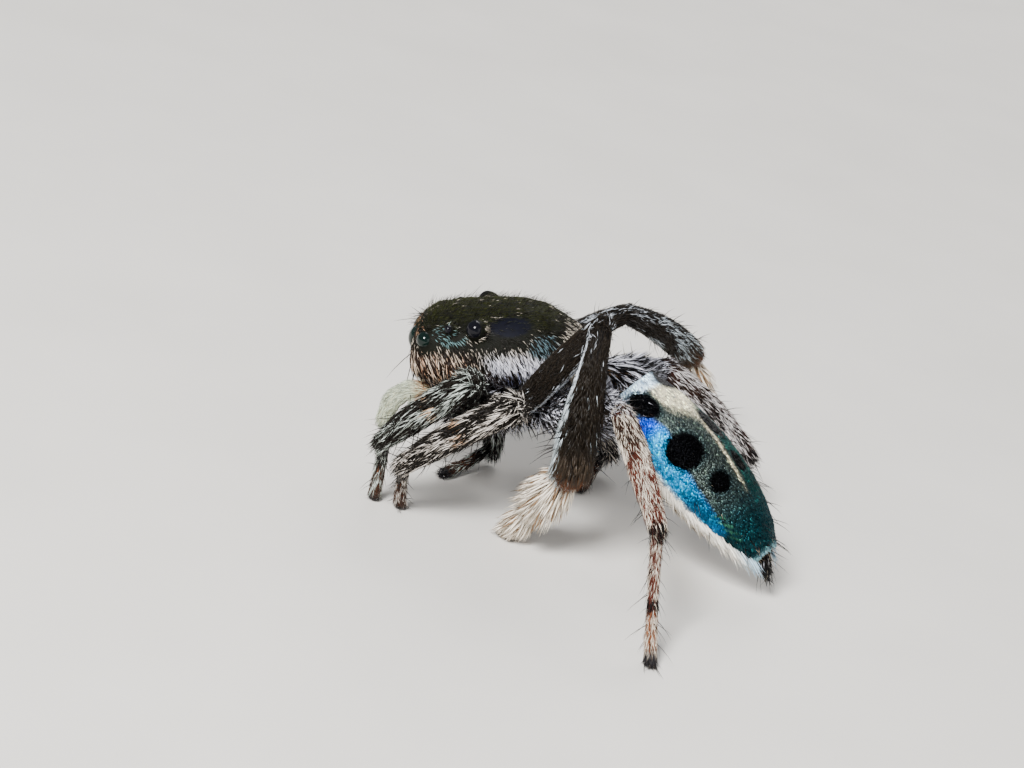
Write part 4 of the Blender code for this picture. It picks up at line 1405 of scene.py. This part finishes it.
class SPIDER_OT_bristles(bpy.types.Operator):
    """Set long thin dark bristles over the face, the legs and the tail"""

    bl_idname = "spider.bristles"
    bl_label = "Bristles"

    def execute(self, context):
        sizes = context.scene.spider_sizes
        flesh = bpy.data.meshes[FLESH]
        dark = plain_material("bristle", (0.008, 0.006, 0.005), 0.35, 0.3)
        grow_coat(
            "bristles", flesh, "dark_legs", 42, 30, mask="skin_spiny",
            Tuft=tuft_object("tuft_bristle", (1.0, 0.8, 0.5), 0.034, 0.6, 0.14), Material=dark,
            Density=90.0, Length=sizes.bristle_length / MM, Sink=HAIR_SINK, Seed=51,
        )
        grow_coat(
            "fuzz", flesh, "carapace", 52, 40, mask="skin_fuzz",
            Tuft=tuft_object("tuft_fine", (1.0, 0.6), 0.05, 0.6, 0.18), Material=dark,
            Density=420.0, Length=sizes.hair_length / MM * 1.35, Sink=HAIR_SINK, Seed=52,
        )
        return {"FINISHED"}


class SPIDER_OT_shield(bpy.types.Operator):
    """Make the back's shield, its scales and its fringe"""

    bl_idname = "spider.shield"
    bl_label = "Shield"

    def execute(self, context):
        sizes = context.scene.spider_sizes
        material = shield_material()
        for name, low, high, columns, node, slot_name in SHIELD_FOLDS:
            mesh = shield_mesh(name, low + SEAM_ANGLE, high - SEAM_ANGLE, columns)
            open_patch = new_object(name + "_open", mesh)
            solid = open_patch.modifiers.new("thickness", "SOLIDIFY")
            solid.thickness = SHIELD_THICKNESS
            solid.offset = 1.0
            thick = evaluated_mesh(open_patch)
            bpy.data.objects.remove(open_patch)
            as_plain_piece(thick, name, material, slot_name, [node])
        whole = lifted_shield("shield_surface", SHIELD_THICKNESS)
        edges = lifted_shield("fringe_surface", SHIELD_THICKNESS * 0.5, True)
        grow_coat(
            "shield_scales", whole, "shield", 11, 14,
            Tuft=tuft_object("tuft_scale", (0.8, 1.15), 0.62, 0.16, 0.05),
            Material=scale_material(),
            Density=sizes.scale_density, Length=sizes.scale_length / MM, Sink=0.0, Seed=71,
        )
        grow_coat(
            "fringe", edges, "flaps", 6, 11, mask="skin_fringe",
            Tuft=tuft_object("tuft_fringe", (0.8, 1.0, 0.7), 0.055, 0.5, 0.08),
            Material=hair_material("fringe", 0.4, 0.7),
            Density=6400.0, Length=0.30, Sink=0.0, Seed=72,
        )
        grow_coat(
            "shield_bristles", whole, "shield", 46, 30, mask="skin_spiny",
            Tuft=tuft_object("tuft_edge", (1.0, 0.8, 0.5), 0.05, 0.6, 0.2),
            Material=bpy.data.materials["bristle"],
            Density=55.0, Length=0.24, Sink=0.0, Seed=73,
        )
        return {"FINISHED"}


class SPIDER_OT_eyes(bpy.types.Operator):
    """Set the eight eyes"""

    bl_idname = "spider.eyes"
    bl_label = "Eyes"

    def execute(self, context):
        colours = context.scene.spider_colours
        looks = {
            "front_eyes": plain_material("front_eye", colours.front_eye, 0.05, 0.26, 0.5, 3500.0),
            "eyes": plain_material("eye", colours.eye, 0.05, 0.16, 0.05),
        }
        for eye, (place, radius) in EYES.items():
            slot_name = "front_eyes" if eye.startswith("front") else "eyes"
            for side_name, side in SIDES.items():
                node = f"eye_{eye}_{side_name}"
                shape = bmesh.new()
                bmesh.ops.create_uvsphere(shape, u_segments=48, v_segments=32, radius=radius)
                bmesh.ops.translate(shape, verts=shape.verts, vec=PROSOMA @ mirrored(place, side))
                mesh = bpy.data.meshes.new(f"eyeball_{eye}_{side_name}")
                shape.to_mesh(mesh)
                shape.free()
                as_plain_piece(mesh, mesh.name, looks[slot_name], slot_name, [node])
                bpy.data.meshes.remove(mesh)
        return {"FINISHED"}


CLAW_ANGLES = (0, 25, 50, 75, 100)
CLAW_RADII = (0.013, 0.012, 0.010, 0.007, 0.003)
CLAW_REACH = 0.04
CLAW_ROOT = (0.045, 0.022, -0.015)
CLAW_SPREAD = 0.008


class SPIDER_OT_claws(bpy.types.Operator):
    """Put two small hooked claws on each foot"""

    bl_idname = "spider.claws"
    bl_label = "Claws"

    def execute(self, context):
        claw = plain_material("claw", context.scene.spider_colours.claw, 0.2)
        guide = Guide()
        for side_name, pair_number in POSE:
            _, _, ankle, toe = leg_joints(side_name, pair_number)
            ahead = toe - ankle
            ahead.z = 0.0
            ahead.normalize()
            aside = Vector((-ahead.y, ahead.x, 0.0))
            forward, sideways, up = CLAW_ROOT
            for spread in (-1, 1):
                root = toe + ahead * forward + aside * spread * sideways + Vector((0, 0, up))
                path = []
                for angle in CLAW_ANGLES:
                    turn = math.radians(angle)
                    reach = ahead * math.sin(turn) + Vector((0, 0, math.cos(turn) - 1))
                    path.append(root + reach * CLAW_REACH + aside * spread * CLAW_SPREAD * turn)
                guide.add_tube(0, path, CLAW_RADII, aside, sides=8)
        mesh = guide.to_mesh("claws")
        as_plain_piece(mesh, "claws", claw, "dark_legs", [])
        bpy.data.meshes.remove(mesh)
        return {"FINISHED"}


# Each light's place in metres, its power and its size
LIGHTS = {
    "key": ((-0.022, -0.050, 0.052), 0.150, 0.022),
    "fill": ((0.060, -0.040, 0.025), 0.018, 0.060),
    "rim": ((0.010, 0.060, 0.050), 0.045, 0.050),
}
SKY = (0.80, 0.86, 1.0, 1.0)
SKY_STRENGTH = 0.22
FLOOR_SIZE = 0.2


class SPIDER_OT_stage(bpy.types.Operator):
    """Set the floor, the soft lights and the camera at the photograph's framing"""

    bl_idname = "spider.stage"
    bl_label = "Stage"

    def execute(self, context):
        scene = context.scene
        right = Vector((1.0, 0.0, 0.0))
        up = Vector((0.0, math.sin(ELEVATION), math.cos(ELEVATION)))
        toward = Vector((0.0, -math.cos(ELEVATION), math.sin(ELEVATION)))
        tilted_right = right * math.cos(ROLL) + up * math.sin(ROLL)
        tilted_up = up * math.cos(ROLL) - right * math.sin(ROLL)
        target = (AIM - CENTRE) * MM
        distance = LENS / SENSOR * IMAGE_WIDTH / PIXELS_PER_MM * MM
        camera = bpy.data.cameras.new("camera")
        camera.lens = LENS
        camera.sensor_width = SENSOR
        camera.clip_start = 0.0005
        camera.clip_end = 1.0
        turn = Matrix((tilted_right, tilted_up, toward)).transposed().to_4x4()
        scene.camera = new_object("camera", camera)
        scene.camera.matrix_world = Matrix.Translation(target + toward * distance) @ turn

        shape = bmesh.new()
        bmesh.ops.create_grid(shape, x_segments=1, y_segments=1, size=FLOOR_SIZE)
        mesh = bpy.data.meshes.new("floor")
        shape.to_mesh(mesh)
        shape.free()
        ground = plain_material("floor", scene.spider_colours.floor, 0.9, depth=0.03, scale=400.0)
        mesh.materials.append(ground)
        new_object("floor", mesh)

        for name, (place, power, size) in LIGHTS.items():
            light = bpy.data.lights.new(name, "AREA")
            light.energy = power
            light.size = size
            lamp = new_object(name, light)
            lamp.location = place
            lamp.rotation_euler = (target - Vector(place)).to_track_quat("-Z", "Y").to_euler()
        world = bpy.data.worlds.new("studio")
        world.use_nodes = True
        backdrop = world.node_tree.nodes["Background"]
        backdrop.inputs["Color"].default_value = SKY
        backdrop.inputs["Strength"].default_value = SKY_STRENGTH
        scene.world = world
        return {"FINISHED"}


class SPIDER_PT_panel(bpy.types.Panel):
    """The spider's sizes, colours and pieces in the sidebar"""

    bl_label = "Peacock spider"
    bl_space_type = "VIEW_3D"
    bl_region_type = "UI"
    bl_category = "Spider"

    def draw(self, context):
        for group in (context.scene.spider_sizes, context.scene.spider_colours):
            for name in group.bl_rna.properties.keys():
                if name not in ("rna_type", "name"):
                    self.layout.prop(group, name)
        for operator in OPERATORS:
            self.layout.operator(operator.bl_idname)


OPERATORS = (
    SPIDER_OT_skin,
    SPIDER_OT_coats,
    SPIDER_OT_bristles,
    SPIDER_OT_shield,
    SPIDER_OT_eyes,
    SPIDER_OT_claws,
    SPIDER_OT_stage,
)
CLASSES = (SpiderSizes, SpiderColours, *OPERATORS, SPIDER_PT_panel)


def register():
    for cls in CLASSES:
        bpy.utils.register_class(cls)
    bpy.types.Scene.spider_sizes = bpy.props.PointerProperty(type=SpiderSizes)
    bpy.types.Scene.spider_colours = bpy.props.PointerProperty(type=SpiderColours)


def unregister():
    del bpy.types.Scene.spider_colours
    del bpy.types.Scene.spider_sizes
    for cls in reversed(CLASSES):
        bpy.utils.unregister_class(cls)


def drop_helpers():
    """Remove the single tufts and the scratch mesh."""
    for item in [item for item in bpy.data.objects if item.name.startswith("tuft_")]:
        bpy.data.objects.remove(item)
    bpy.data.meshes.remove(bpy.data.meshes[FLESH])


def main():
    register()
    bpy.ops.spider.skin()
    bpy.ops.spider.coats()
    bpy.ops.spider.bristles()
    bpy.ops.spider.shield()
    bpy.ops.spider.eyes()
    bpy.ops.spider.claws()
    bpy.ops.spider.stage()
    drop_helpers()


if __name__ == "__main__":
    main()
